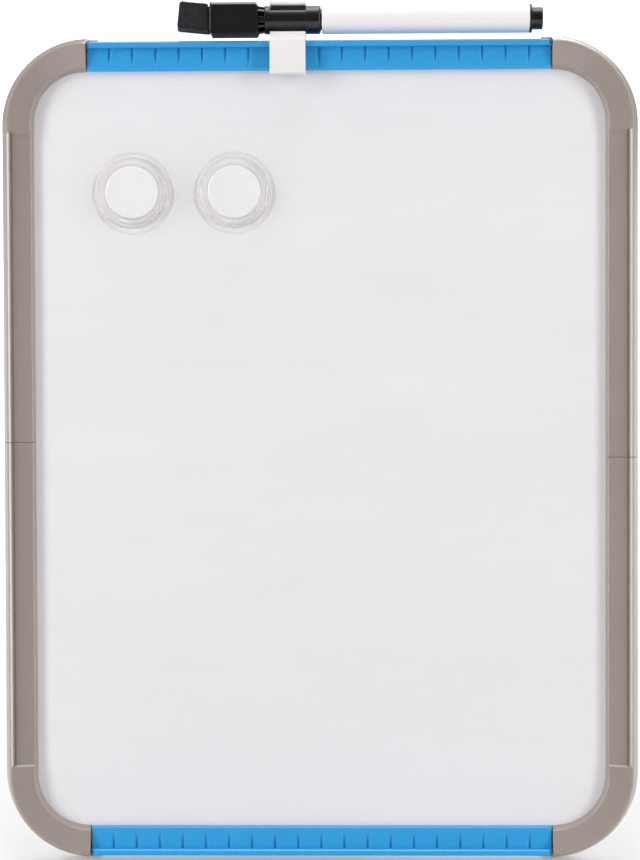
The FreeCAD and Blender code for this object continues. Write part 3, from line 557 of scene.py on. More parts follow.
def rail_rows(half_length):
    """Top rail: its section carried along X. On the floor a row of grooves dips by depth between steep
    walls, with a shallow slope on both sides that catches the side lights. Both fade out over the last
    part of the groove's length. Near both ends the front is cut back at 45 degrees."""
    outline = rounded([(GROOVE_WALL, -FLANGE_THICKNESS, 0), (FLANGE_REACH, -FLANGE_THICKNESS, BACK_ROUNDING),
                       (FLANGE_REACH, 0, BACK_ROUNDING), (RAIL_INSET, 0, BACK_ROUNDING),
                       (RAIL_INSET, RAIL_FRONT_Y + RAIL_EDGE, RAIL_EDGE_ROUNDING),
                       (RAIL_INSET + RAIL_EDGE, RAIL_FRONT_Y, RAIL_EDGE_ROUNDING),
                       (RAIL_LIP_INSET - RAIL_EDGE, RAIL_FRONT_Y, RAIL_EDGE_ROUNDING),
                       (RAIL_LIP_INSET, RAIL_FRONT_Y + RAIL_EDGE, RAIL_EDGE_ROUNDING),
                       (RAIL_LIP_INSET, RAIL_FLOOR_Y, 0),
                       (RAIL_INNER_INSET, RAIL_FLOOR_Y, RAIL_INNER_ROUNDING),
                       (RAIL_INNER_INSET, PANEL_SEAT_Y, 0), (GROOVE_WALL, PANEL_SEAT_Y, 0)])
    root = np.argmin(np.abs(outline - (RAIL_LIP_INSET, RAIL_FLOOR_Y)).sum(axis=1))
    insets = RAIL_LIP_INSET + GROOVE_LENGTH * np.linspace(0, 1, 9)[1:]
    floor = np.stack([insets, np.full_like(insets, RAIL_FLOOR_Y)], axis=-1)
    outline = np.concatenate([outline[:root + 1], floor, outline[root + 1:]])

    wall = GROOVE_HALF_WIDTH
    across = wall + np.concatenate([GROOVE_WALL_WIDTH * np.linspace(-1, 0, 4),
                                    GROOVE_SHOULDER * np.linspace(0, 1, 6)[1:]])
    across = np.concatenate([-across[::-1], [0], across])
    centres = GROOVE_PITCH * (np.arange(GROOVE_COUNT) - (GROOVE_COUNT - 1) / 2)
    steps = np.concatenate([end_steps(END_ROUNDING), RAIL_CHAMFER + RAIL_CHAMFER_EASE * np.arange(-1, 2)])
    ends = half_length - steps
    x = np.sort(np.concatenate([ends, -ends, (centres[:, None] + across).ravel()]))

    off = np.abs(x[:, None] - centres).min(axis=1)
    slot = np.clip((wall - off) / GROOVE_WALL_WIDTH, 0, 1)
    shoulder = np.clip((wall + GROOVE_SHOULDER - off) / GROOVE_SHOULDER, 0, 1)
    left = np.clip(1 - (outline[:, 0] - RAIL_LIP_INSET) / GROOVE_LENGTH, 0, 1)
    on_floor = (np.abs(outline[:, 1] - RAIL_FLOOR_Y) < TOUCH) & (outline[:, 0] > RAIL_LIP_INSET - TOUCH)
    fade = np.clip(left / GROOVE_FADE, 0, 1)
    dip = (slot[:, None] * GROOVE_DEPTH + shoulder[:, None] * GROOVE_SHOULDER_DEPTH) * fade
    drawn = eased(half_length - np.abs(x), END_ROUNDING)[:, None, None]
    section = outline[None] + inward(outline)[None] * drawn
    limit = RAIL_FRONT_Y + np.clip(RAIL_CHAMFER - half_length + np.abs(x), 0, None)
    y = np.maximum(section[..., 1] + dip * on_floor, limit[:, None])
    along = np.broadcast_to(x[:, None], y.shape)
    return np.stack([along, y, FRAME_HEIGHT - section[..., 0]], axis=-1)


def add_rails(finish):
    """Top rail, and the same moulding turned half round as the bottom rail."""
    rail_low, _ = board_box("top_rail")
    points, faces = skin(rail_rows(-rail_low[0]))
    add_piece("top_rail_moulding", [(points, faces)], finish, "board", "top_rail")
    add_piece("bottom_rail_moulding", [(half_turn(points), faces)], finish, "board", "bottom_rail")


# Marker clip

def add_clip(finish):
    """Clip: its side outline carried across its width. It hooks over the rail, and a U of inner radius
    waist + clearance, open to the front, holds the cap."""
    low, high = board_box("marker_clip")
    front = RAIL_FRONT_Y - CLIP_RAIL_CLEARANCE
    leg_front = front - CLIP_LEG_THICKNESS
    hook_front = leg_front + CLIP_HOOK_REACH
    hook_top = low[2] + CLIP_BACK_REACH - CLIP_RAIL_CLEARANCE - RAIL_SOLID_INSET
    hook_low = hook_top - CLIP_HOOK_HEIGHT
    plate_low = FRAME_HEIGHT - RAIL_INSET + CLIP_RAIL_CLEARANCE
    plate_top = plate_low + CLIP_PLATE_THICKNESS
    back = CLIP_RAIL_CLEARANCE + CLIP_BACK_THICKNESS
    arm_front = MARKER_Y - CRADLE_ARM
    middle = FRAME_HEIGHT + MARKER_RISE
    inner = WAIST_RADIUS + CRADLE_CLEARANCE
    outer = inner + CRADLE_THICKNESS
    pad = (MARKER_Y + PAD_BACK, plate_top)
    pad_angle = math.degrees(math.asin(PAD_BACK / outer)) - 90
    hook = rounded([(leg_front, hook_low, CLIP_ROUNDING), (hook_front, hook_low, CLIP_ROUNDING),
                    (hook_front, hook_top, CLIP_TIP_ROUNDING), (front, hook_top, 0), (front, plate_low, 0),
                    (CLIP_RAIL_CLEARANCE, plate_low, 0), (CLIP_RAIL_CLEARANCE, low[2], CLIP_TIP_ROUNDING),
                    (back, low[2], CLIP_TIP_ROUNDING), (back + CLIP_NUB, low[2] + 2 * CLIP_NUB, CLIP_NUB),
                    (back, low[2] + 4 * CLIP_NUB, 0), (back, plate_top, CLIP_ROUNDING), (*pad, 0),
                    (arm_front, plate_top, 0), (leg_front, plate_top - CLIP_SHOULDER, CLIP_ROUNDING)])
    upper_arm = rounded([(MARKER_Y, middle + outer, 0), (arm_front, middle + outer, CLIP_ROUNDING),
                         (arm_front, middle + inner, CLIP_ROUNDING), (MARKER_Y, middle + inner, 0)])
    cradle = [arc((MARKER_Y, middle), outer, pad_angle, 90, CRADLE_STEPS), upper_arm[1:-1],
              arc((MARKER_Y, middle), inner, 90, -90, CRADLE_STEPS), [(arm_front, middle - inner)]]
    cut = np.argmin(np.abs(hook - pad).sum(axis=1)) + 1
    rows = carried(np.concatenate([hook[:cut], *cradle, hook[cut:]]), (low[0], high[0]), CLIP_SIDE_ROUNDING,
                   lambda along, a, b: np.stack([along, a, b], axis=-1))
    add_piece("white_marker_clip", [skin(rows)], finish, "clip", "marker_clip")


# Marker

def marker_axis():
    """A point on the marker's axis at X = 0."""
    return np.array((0, MARKER_Y, FRAME_HEIGHT + MARKER_RISE))


def along_marker(outline):
    """Skin turned about the marker's axis from an outline (X, radius, rounding)."""
    return skin(turned(rounded(outline, steps=5), marker_axis(), (1, 0, 0), (0, 0, 1)), closed_ends=False)


def cap_barrel(right):
    """Collars, waist and bore of the cap, with its closed left end on the axis."""
    clip_low, clip_high = board_box("marker_clip")
    waist_left = clip_low[0] - FIT
    waist_right = clip_high[0] + FIT
    left = waist_left - LEFT_COLLAR
    return left, along_marker([
        (left, 0, 0), (left, COLLAR_RADIUS, CAP_ROUNDING), (waist_left, COLLAR_RADIUS, CAP_INNER_ROUNDING),
        (waist_left, WAIST_RADIUS, 0), (waist_right, WAIST_RADIUS, 0),
        (waist_right, COLLAR_RADIUS, CAP_INNER_ROUNDING), (right, COLLAR_RADIUS, 2 * CAP_ROUNDING),
        (right, CAP_BORE, CAP_INNER_ROUNDING), (left + CAP_WALL, CAP_BORE, 0), (left + CAP_WALL, 0, 0)])


def square_ring(x, half_depth, half_height, rounding, chamfer=0.0):
    """Rounded square across the marker at X, its top front corner cut off if it has a chamfer."""
    corners = [(-half_depth, -half_height, rounding), (half_depth, -half_height, rounding),
               (half_depth, half_height, rounding)]
    if chamfer:
        corners += [(-half_depth + chamfer, half_height, HOLDER_CHAMFER_ROUNDING),
                    (-half_depth, half_height - chamfer, HOLDER_CHAMFER_ROUNDING)]
    else:
        corners.append((-half_depth, half_height, rounding))
    across = rounded(corners, steps=7)
    return marker_axis() + np.stack([np.full(len(across), x), across[:, 0], across[:, 1]], axis=-1)


def eraser_holder(left, right):
    """Square holder: rings from the pocket's floor out over the rim and along to the tapered end."""
    rings = []
    for start, places in ((left, HOLDER_MOUTH), (right, HOLDER_END)):
        for x, inset in places:
            rounding = max(HOLDER_ROUNDING - max(inset, 0) / 2, HOLDER_LEAST_ROUNDING)
            rings.append(square_ring(start + x, HOLDER_HALF_DEPTH - inset, HOLDER_HALF_HEIGHT - inset,
                                     rounding, HOLDER_CHAMFER))
    return skin(np.stack(rings))


def neck_fins(left, right):
    """Core of the vented neck and the blades round it, each a thin tapering plate on the axis."""
    low, high = FIN_RADII
    root = NECK_CORE / 2
    half = FIN_THICKNESS / 2
    blade = rounded([(left, root, 0), (left, low, FIN_ROUNDING), (right, high, FIN_ROUNDING),
                     (right, root, 0)])
    skins = [along_marker([(left, 0, 0), (left, NECK_CORE, 0), (right, NECK_CORE, 0), (right, 0, 0)])]
    for index in range(FIN_COUNT):
        angle = (index + 0.5) * 2 * math.pi / FIN_COUNT
        radial = np.array((0, -math.sin(angle), math.cos(angle)))
        side = np.array((0, math.cos(angle), math.sin(angle)))
        skins.append(skin(carried(blade, (-half, half), FIN_SIDE_ROUNDING, lambda along, a, b: (
            marker_axis() + a[..., None] * (1, 0, 0) + b[..., None] * radial + along[..., None] * side))))
    return skins


def add_cap(finish, dull):
    """Cap in one moulding: its barrel and vented neck polished, its eraser holder left dull."""
    low, high = board_box("marker_cap")
    cap_left, barrel = cap_barrel(high[0])
    holder_right = cap_left - NECK_LENGTH
    skins = [barrel] + neck_fins(holder_right - CAP_WALL / 2, cap_left + CAP_WALL / 2)
    add_piece("black_marker_cap", skins, finish, "cap", "marker_cap")
    holder = add_piece("black_eraser_holder", [eraser_holder(low[0], holder_right)], dull, "cap")


def felt_wave(points):
    """Soft unevenness of the felt: a mean of sines of three slanted plane waves, from -1 to 1."""
    waves = [np.sin(points @ np.array(wave) + phase) for phase, wave in enumerate(FELT_WAVES)]
    return sum(waves) / len(waves)


def tilted(points, pivot):
    """Points turned by the felt's tilt about Y through a pivot, left end up."""
    offset = points - pivot
    x = offset[..., 0] * math.cos(FELT_TILT) + offset[..., 2] * math.sin(FELT_TILT)
    z = offset[..., 2] * math.cos(FELT_TILT) - offset[..., 0] * math.sin(FELT_TILT)
    return pivot + np.stack([x, offset[..., 1], z], axis=-1)


def felt_rows(holder_left):
    """Felt block: rounded squares along X, drawn in at its free end by its rounding, tilted about the
    holder's mouth, each point moved out by the felt's unevenness. Its free end is cut askew: the back
    reaches further by the skew."""
    end = holder_left - FELT_LENGTH
    steps = end_steps(FELT_ROUNDING, 6)
    x = np.concatenate([end + steps, np.linspace(end + FELT_ROUNDING, holder_left, FELT_ROWS)[1:]])
    rings = np.stack([square_ring(place, FELT_HALF_DEPTH - inset, FELT_HALF_HEIGHT - inset,
                                  max(FELT_ROUNDING - inset / 2, FELT_LEAST_ROUNDING))
                      for place, inset in zip(x, eased(x - end, FELT_ROUNDING))])
    pivot = marker_axis() + (holder_left, 0, 0)
    out = unit((rings - pivot) * (0, 1, 1))
    rings = rings + out * (felt_wave(rings) - 1)[..., None] * FELT_WAVE
    askew = (rings[..., 1] - MARKER_Y + FELT_HALF_DEPTH) * (holder_left - x)[:, None] / FELT_LENGTH
    rings[..., 0] -= FELT_SKEW * askew
    rings = tilted(rings, pivot) + (0, 0, FELT_RISE)
    rings[..., 0] = np.minimum(rings[..., 0], holder_left - FELT_GAP)
    return rings


def fibres(surface):
    """Loose fibres: each a strip of two faces that starts at a surface point, leans off it at random and
    bends once. Returns one skin-like set of points and faces."""
    chance = np.random.default_rng(FIBRE_SEED)
    rows, around = surface.shape[:2]
    row = chance.integers(1, rows - FIBRE_FREE_ROWS, FIBRE_COUNT)
    column = chance.integers(0, around, FIBRE_COUNT)
    root = surface[row, column]
    out = unit(root - surface.mean(axis=1)[row])
    drift = chance.normal(0, FIBRE_DRIFT, (FIBRE_COUNT, 3))
    first = unit(out + drift)
    second = unit(out * FIBRE_LIFT + drift + chance.normal(0, FIBRE_BEND, (FIBRE_COUNT, 3)))
    length = FIBRE_LENGTH * chance.uniform(FIBRE_SHORTEST, 1, (FIBRE_COUNT, 1))
    start = root - out * FELT_WAVE
    middle = start + first * length / 2
    tip = middle + second * length / 2
    side = unit(np.cross(first, out + (0.01, 0.02, 0.03))) * FIBRE_WIDTH / 2
    points = np.stack([start - side, start + side, middle + side, middle - side,
                       tip + side / 3, tip - side / 3], axis=1)
    base = 6 * np.arange(FIBRE_COUNT)[:, None]
    faces = np.concatenate([base + (0, 1, 2, 3), base + (3, 2, 4, 5)])
    return points.reshape(-1, 3), faces.tolist()


def add_felt(finish):
    """Felt eraser: the block, its tenon in the holder, and loose fibres on the block."""
    cap_low, _ = board_box("marker_cap")
    _, felt_high = board_box("eraser_felt")
    rows = felt_rows(cap_low[0])
    inset = HOLDER_WALL + TENON_PLAY
    tenon = np.stack([square_ring(x, HOLDER_HALF_DEPTH - inset, HOLDER_HALF_HEIGHT - inset,
                                  FELT_LEAST_ROUNDING)
                      for x in (cap_low[0] - FELT_GAP - FELT_ROUNDING, felt_high[0])])
    add_piece("felt_eraser_block", [skin(rows), skin(tenon)], finish, "cap", "eraser_felt")
    add_piece("felt_eraser_fibres", [fibres(rows)], finish, "cap")


def add_pen(barrel_finish, black, ink):
    """Barrel, end plug, nose and nib, each turned about the marker's axis."""
    low, high = board_box("pen_barrel")
    _, plug_high = board_box("pen_end_plug")
    nib_low, nib_high = board_box("pen_nib")
    left, right, end = low[0], high[0], plug_high[0]
    flange = right + PLUG_FLANGE
    spigot = BARREL_BORE - FIT
    bore = NIB_RADIUS + FIT
    nose_left = left - NOSE_LENGTH
    add_piece("white_pen_barrel", [along_marker([
        (left, BARREL_BORE, 0), (left, BARREL_RADIUS, BARREL_ROUNDING),
        (right, BARREL_RADIUS, BARREL_ROUNDING / 2), (right, BARREL_BORE, 0),
        (left, BARREL_BORE, 0)])], barrel_finish, "pen", "pen_barrel")
    add_piece("black_end_plug", [along_marker([
        (flange, 0, 0), (flange, PLUG_SPIGOT_BORE, 0), (right - PLUG_SPIGOT, PLUG_SPIGOT_BORE, 0),
        (right - PLUG_SPIGOT, spigot, 0), (right, spigot, 0),
        (right, PLUG_FLANGE_RADIUS, PLUG_FLANGE_ROUNDING),
        (flange, PLUG_FLANGE_RADIUS, PLUG_FLANGE_ROUNDING), (flange, PLUG_RADIUS, FINE_ROUNDING),
        (end, PLUG_RADIUS, PLUG_CHAMFER), (end, 0, 0)])], black, "pen", "pen_end_plug")
    add_piece("black_pen_nose", [along_marker([
        (nose_left, bore, 0), (nose_left, NOSE_TIP_RADIUS, NOSE_TIP_ROUNDING),
        (nose_left + NOSE_CONE, NOSE_RADIUS, SHOULDER_ROUNDING), (left, NOSE_RADIUS, 0), (left, spigot, 0),
        (left + NOSE_SPIGOT, spigot, 2 * FINE_ROUNDING), (left + NOSE_SPIGOT, bore, 0),
        (nose_left, bore, 0)])], black, "pen", "pen_nose")
    add_piece("ink_felt_nib", [along_marker([
        (nib_low[0], 0, 0), (nib_low[0], NIB_TIP_RADIUS, NIB_TIP_ROUNDING),
        (nib_low[0] + NIB_RADIUS, NIB_RADIUS, SHOULDER_ROUNDING), (nib_high[0], NIB_RADIUS, FINE_ROUNDING),
        (nib_high[0], 0, 0)])], ink, "pen", "pen_nib")


# Magnets

def off_board(outline, x, y, z):
    """Skin turned about a line straight off the board's face from an outline (distance, radius)."""
    return skin(turned(outline, (x, y, z), (0, -1, 0), (1, 0, 0), MAGNET_AROUND), closed_ends=False)


def add_magnet(side, clear, white):
    """Clear knob turned from a thin rim, a concave flank and a dished top round a pocket in its back, and
    the white disc magnet with rounded edges in that pocket."""
    low, high = board_box(side + "_magnet_knob")
    x, z = (low[0] + high[0]) / 2, (low[2] + high[2]) / 2
    dish = MAGNET_HEIGHT - MAGNET_DISH_DEPTH
    outline = rounded([(MAGNET_POCKET_DEPTH, 0, 0), (MAGNET_POCKET_DEPTH, MAGNET_POCKET_RADIUS, 0),
                       (0, MAGNET_POCKET_RADIUS, FINE_ROUNDING), (0, MAGNET_RADIUS, MAGNET_RIM_ROUNDING),
                       (MAGNET_RIM, MAGNET_RADIUS, MAGNET_RIM_ROUNDING),
                       (MAGNET_RIM + MAGNET_RIM_ROUNDING, MAGNET_TOP_RADIUS + MAGNET_TOP_ROUNDING,
                        MAGNET_TOP_ROUNDING),
                       (MAGNET_HEIGHT - MAGNET_TOP_ROUNDING, MAGNET_TOP_RADIUS, MAGNET_FLANK_ROUNDING),
                       (MAGNET_HEIGHT, MAGNET_TOP_RADIUS - MAGNET_TOP_ROUNDING, MAGNET_BROW_ROUNDING),
                       (MAGNET_HEIGHT, MAGNET_DISH_RADIUS, MAGNET_DISH_ROUNDING),
                       (dish, MAGNET_DISH_RADIUS - MAGNET_DISH_DEPTH, MAGNET_FLANK_ROUNDING),
                       (dish, 0, 0)], steps=7)
    add_piece(side + "_clear_knob", [off_board(outline, x, high[1], z)], clear, side + "_magnet",
              side + "_magnet_knob")
    low, high = board_box(side + "_magnet_disc")
    thickness = high[1] - low[1]
    radius = (high[0] - low[0]) / 2
    outline = rounded([(0, 0, 0), (0, radius, DISC_ROUNDING), (thickness, radius, DISC_ROUNDING),
                       (thickness, 0, 0)])
    add_piece(side + "_white_disc", [off_board(outline, x, high[1], z)], white, side + "_magnet",
              side + "_magnet_disc")


# Finishes

def srgb(red, green, blue):
    """Linear colour from 0 to 255 values: c / 12.92 when small, else ((c + 0.055) / 1.055) ^ 2.4."""
    values = [channel / 255 for channel in (red, green, blue)]
    return [value / 12.92 if value < 0.04045 else ((value + 0.055) / 1.055) ** 2.4 for value in values] + [1]


def scaled(colour, factor):
    """A colour made lighter or darker."""
    return [channel * factor for channel in colour[:3]] + [1]


class Nodes:
    """Short ways to build a shader tree."""

    def __init__(self, tree):
        self.tree = tree

    def add(self, kind, sockets=None, **settings):
        """A node with its settings, and its sockets set or linked."""
        made = self.tree.nodes.new("ShaderNode" + kind)
        for setting, value in settings.items():
            setattr(made, setting, value)
        self.feed(made, sockets or {})
        return made

    def feed(self, node, sockets):
        """Links outputs to a node's sockets, or sets the sockets' values."""
        for name, value in sockets.items():
            if isinstance(value, bpy.types.NodeSocket):
                self.tree.links.new(value, node.inputs[name])
            else:
                node.inputs[name].default_value = value

    def math(self, operation, *terms):
        """Sum, product or other result of outputs and numbers, taken from left to right."""
        total = terms[0]
        for term in terms[1:]:
            total = self.add("Math", {0: total, 1: term}, operation=operation).outputs[0]
        return total

    def along(self, vector, direction):
        """Share of a vector output along a fixed direction."""
        return self.add("VectorMath", {0: vector, 1: direction}, operation="DOT_PRODUCT").outputs["Value"]

    def between(self, value, low, high, first=0.3, last=0.7, shape="LINEAR"):
        """An output brought from its own range, first to last, between two numbers, and held there."""
        return self.add("MapRange", {"Value": value, "From Min": first, "From Max": last, "To Min": low,
                                     "To Max": high}, interpolation_type=shape).outputs["Result"]


class Finish(Nodes):
    """A material and short ways to pattern it. Coordinates are the object's own, in metres."""

    def __init__(self, name, **sockets):
        self.material = bpy.data.materials.new(name)
        self.material.use_nodes = True
        super().__init__(self.material.node_tree)
        self.place = self.add("TexCoord").outputs["Object"]
        self.set(**sockets)

    def set(self, **sockets):
        """Sets or links the shader's sockets, named with underscores for spaces. Returns the material."""
        shader = self.tree.nodes["Principled BSDF"]
        self.feed(shader, {name.replace("_", " "): value for name, value in sockets.items()})
        return self.material

    def noise(self, per_metre, detail=3.0, roughness=0.6, stretch=(1, 1, 1)):
        """Noise with about that many features in a metre, longer along an axis with a small stretch."""
        place = self.add("Mapping", {"Vector": self.place, "Scale": stretch}).outputs["Vector"]
        return self.add("TexNoise", {"Vector": place, "Scale": per_metre, "Detail": detail,
                                     "Roughness": roughness}).outputs["Fac"]

    def colours(self, share, first, second):
        """Colour between two, by a 0 to 1 pattern."""
        mixed = self.add("Mix", {"Factor": share, "A": first, "B": second}, data_type="RGBA")
        return mixed.outputs["Result"]

    def tint(self, pattern, first, second, *ends):
        """Colour between two, by any pattern."""
        return self.colours(self.between(pattern, 0, 1, *ends), first, second)

    def bump(self, height, microns, edges=None):
        """Normal from a height pattern of that depth, over rounded edges if there are any."""
        sockets = {"Height": height, "Distance": microns * MICRON}
        if edges:
            sockets["Normal"] = self.add("Bevel", {"Radius": edges * MM}, samples=6).outputs["Normal"]
        return self.add("Bump", sockets).outputs["Normal"]


def moulded(name, colour, roughness, grain=3, edges=None, swing=0.025, specular=0.5):
    """Moulded plastic: faint flow blotches in its colour, a fine spark grain, and handling marks in its
    gloss."""
    finish = Finish(name, IOR=1.48, Specular_IOR_Level=specular)
    blotch = finish.noise(35, detail=2)
    rub = finish.noise(140, detail=5, roughness=0.7)
    return finish.set(Base_Color=finish.tint(blotch, scaled(colour, 1 - swing), scaled(colour, 1 + swing)),
                      Roughness=finish.between(rub, roughness - 1.2 * swing, roughness + 1.6 * swing),
                      Normal=finish.bump(finish.noise(2600, detail=2), grain, edges))


def patterned(name, first, second, relief, per_metre, detail, stretch=(1, 1, 1), **sockets):
    """Plain finish of one noise, which tints it between two colours and gives it its relief."""
    finish = Finish(name, **sockets)
    pattern = finish.noise(per_metre, detail, stretch=stretch)
    return finish.set(Base_Color=finish.tint(pattern, first, second), Normal=finish.bump(pattern, relief))


def holder_finish():
    """Dull black plastic of the eraser holder, rubbed shiny along its top and round its mouth: a clear
    coat whose share rises over the upper edge and over the first part of a millimetre in X."""
    low, _ = board_box("marker_cap")
    finish = Finish("black_dull_plastic", IOR=1.48, Specular_IOR_Level=0.06, Coat_Roughness=0.25)
    rub = finish.noise(140, detail=5, roughness=0.7)
    middle = float(stood(marker_axis()) @ UP)
    heights = [middle + height * MM for height in SHINE_HEIGHTS]
    near_top = finish.between(finish.along(finish.place, UP), 0, 1, *heights)
    reach = [(low[0] + distance) * MM for distance in SHINE_MOUTH]
    near_mouth = finish.between(finish.along(finish.place, (1, 0, 0)), SHINE_AT_MOUTH, 0, *reach)
    return finish.set(Base_Color=finish.tint(rub, srgb(26, 26, 28), srgb(29, 29, 31)),
                      Roughness=finish.between(rub, 0.56, 0.66),
                      Coat_Weight=finish.math("MAXIMUM", near_top, near_mouth))


def enamel():
    """Glossy white enamel of the writing face: a slight orange peel, and streaks of old wiping in its
    gloss and, hardly seen, in its white."""
    finish = Finish("white_enamel", IOR=1.5)
    wiped = finish.noise(14, detail=6, roughness=0.65, stretch=(1, 4, 4))
    return finish.set(Base_Color=finish.tint(wiped, srgb(235, 233, 236), srgb(238, 236, 239)),
                      Roughness=finish.between(wiped, 0.13, 0.24),
                      Normal=finish.bump(finish.noise(520, detail=2), 4))


def felt_finish():
    """Black felt: fibres in short random runs. Its colour is painted lighter on the raised fibres and darker
    in the hollows between them: painted highlight and shade that follow its relief.
    """
    finish = Finish("black_felt", Roughness=0.95, IOR=1.4, Sheen_Weight=0.2, Sheen_Roughness=0.5,
                    Sheen_Tint=srgb(150, 150, 155))
    long_way = finish.noise(1400, detail=4, roughness=0.75, stretch=(0.35, 1, 1))
    cross_way = finish.noise(1500, detail=4, roughness=0.75, stretch=(1, 1, 0.3))
    height = finish.between(finish.math("ADD", long_way, cross_way), 0, 1, 0.7, 1.3)
    # painted shade and highlight: the colour darkens in the felt's hollows and lightens on its raised
    # fibres, by the same pattern as its relief
    return finish.set(Base_Color=finish.colours(height, srgb(18, 18, 20), srgb(41, 41, 43)),
                      Normal=finish.bump(height, 160))


def clear_finish():
    """Clear acrylic, faintly scuffed. Most of a lamp's light goes straight through it, so that its shadow
    is as faint as in the photograph."""
    finish = Finish("clear_acrylic", IOR=1.49, Transmission_Weight=1.0, Base_Color=srgb(241, 240, 240))
    scuffs = finish.noise(900, detail=4, roughness=0.7)
    shadow = finish.add("LightPath").outputs["Is Shadow Ray"]
    return finish.set(Roughness=finish.between(scuffs, 0.0, 0.05, 0.45, 0.8),
                      Alpha=finish.between(shadow, 1, 1 - CLEAR_TO_LAMPS, 0, 1))


def steel_finish():
    """Zinc plated steel with fine turning marks and dull patches."""
    finish = Finish("plated_steel", Metallic=1.0)
    patches = finish.noise(260, detail=5)
    marks = finish.noise(3000, detail=2, stretch=(1, 0.1, 1))
    return finish.set(Base_Color=finish.tint(patches, srgb(168, 166, 160), srgb(205, 204, 200)),
                      Roughness=finish.between(patches, 0.42, 0.24), Normal=finish.bump(marks, 20, 0.25))


def rubber_finish():
    """Dull black rubber with fine dust in its grain."""
    finish = Finish("foot_rubber", IOR=1.5)
    dust = finish.noise(700, detail=5)
    return finish.set(Base_Color=finish.tint(dust, srgb(34, 34, 35), srgb(70, 69, 67), 0.45, 0.8),
                      Roughness=finish.between(dust, 0.7, 0.95),
                      Normal=finish.bump(finish.noise(2400), 40, 0.4))


def liner_finish():
    """Pale grey liner board on the back: mottled pulp with short fibres."""
    finish = Finish("back_liner_board", IOR=1.45, Roughness=0.75)
    pulp = finish.noise(420, detail=6, roughness=0.7)
    fibre = finish.noise(900, detail=3, stretch=(1, 0.2, 0.2))
    shade = finish.between(finish.math("MULTIPLY", pulp, fibre), 0, 1, 0.12, 0.4)
    return finish.set(Base_Color=finish.colours(shade, srgb(184, 182, 178), srgb(202, 200, 196)),
                      Normal=finish.bump(shade, 30))


def dress(finish, *nodes):
    """Puts a finish on CAD nodes by their material slots."""
    for node in nodes:
        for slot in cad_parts[node].material_slots:
            slot.material = finish


# Surroundings

def place_at(thing, place, side, up, back):
    """Puts a lamp or camera at a place, its own X, Y and Z along three directions."""
    thing.matrix_world = Matrix.Translation(place) @ Matrix((side, up, back)).transposed().to_4x4()


def add_lamp(name, azimuth, elevation, width, height, radiance):
    """Soft box: a rectangular area lamp one metre from the board's middle. Power = pi * area * radiance.
    Its height runs up the board, or backwards for a lamp steeply above it."""
    turn, rise = math.radians(azimuth), math.radians(elevation)
    way = np.array((math.sin(turn) * math.cos(rise), -math.cos(turn) * math.cos(rise), math.sin(rise)))
    middle = np.array((0, PANEL_SEAT_Y, FRAME_HEIGHT / 2))
    place, aim = Vector(stood(middle + way / MM)), Vector(stood(middle))
    back = (place - aim).normalized()
    side = Vector(UP if abs(elevation) < STEEP else (0, 1, 0)).cross(back).normalized()
    light = bpy.data.lights.new(name, "AREA")
    light.shape = "RECTANGLE"
    light.size = width
    light.size_y = height
    light.energy = math.pi * width * height * radiance
    box = linked(name, light)
    box.visible_transmission = False
    place_at(box, place, side, back.cross(side), back)


class Rays(Nodes):
    """Nodes that tell the kinds of ray apart, for what some of them see and others don't."""

    def __init__(self, tree):
        super().__init__(tree)
        self.path = self.add("LightPath").outputs

    def any_of(self, *names):
        """One where the ray is any of these kinds, else zero."""
        return self.math("MAXIMUM", *(self.path[name] for name in names))

    def ramp(self, value, ends, low, high):
        """Smooth step from low to high while a value passes between two ends."""
        return self.between(value, low, high, *ends, "SMOOTHSTEP")


def add_floor():
    """Pale floor. Camera and clear rays also see added white, more of it away from the object, so that
    the floor reads as the white background and keeps the object's shadow. Mirror rays see a part of it, in
    front of the object only."""
    mesh = bpy.data.meshes.new("pale_floor")
    corners = [(-1, -1, 0), (1, -1, 0), (1, 1, 0), (-1, 1, 0)]
    mesh.from_pydata([(FLOOR_HALF * x, FLOOR_HALF * y, z) for x, y, z in corners], [], [(0, 1, 2, 3)])
    floor = linked("pale_floor", mesh)
    finish = Finish("pale_floor", Base_Color=scaled(WHITE, FLOOR_GREY), Roughness=0.9, Emission_Color=WHITE)
    rays = Rays(finish.tree)
    away = rays.add("VectorMath", {0: finish.place}, operation="LENGTH").outputs["Value"]
    added = rays.ramp(away, FLOOR_DISTANCES, *FLOOR_LEVELS)
    in_front = rays.ramp(rays.along(finish.place, (0, -1, 0)), FLOOR_FRONT, 0, FLOOR_IN_MIRRORS)
    mirrored = rays.math("MULTIPLY", rays.path["Is Glossy Ray"], in_front)
    seen = rays.math("ADD", rays.any_of("Is Camera Ray", "Is Transmission Ray"), mirrored)
    mesh.materials.append(finish.set(Emission_Strength=rays.math("MULTIPLY", added, seen)))


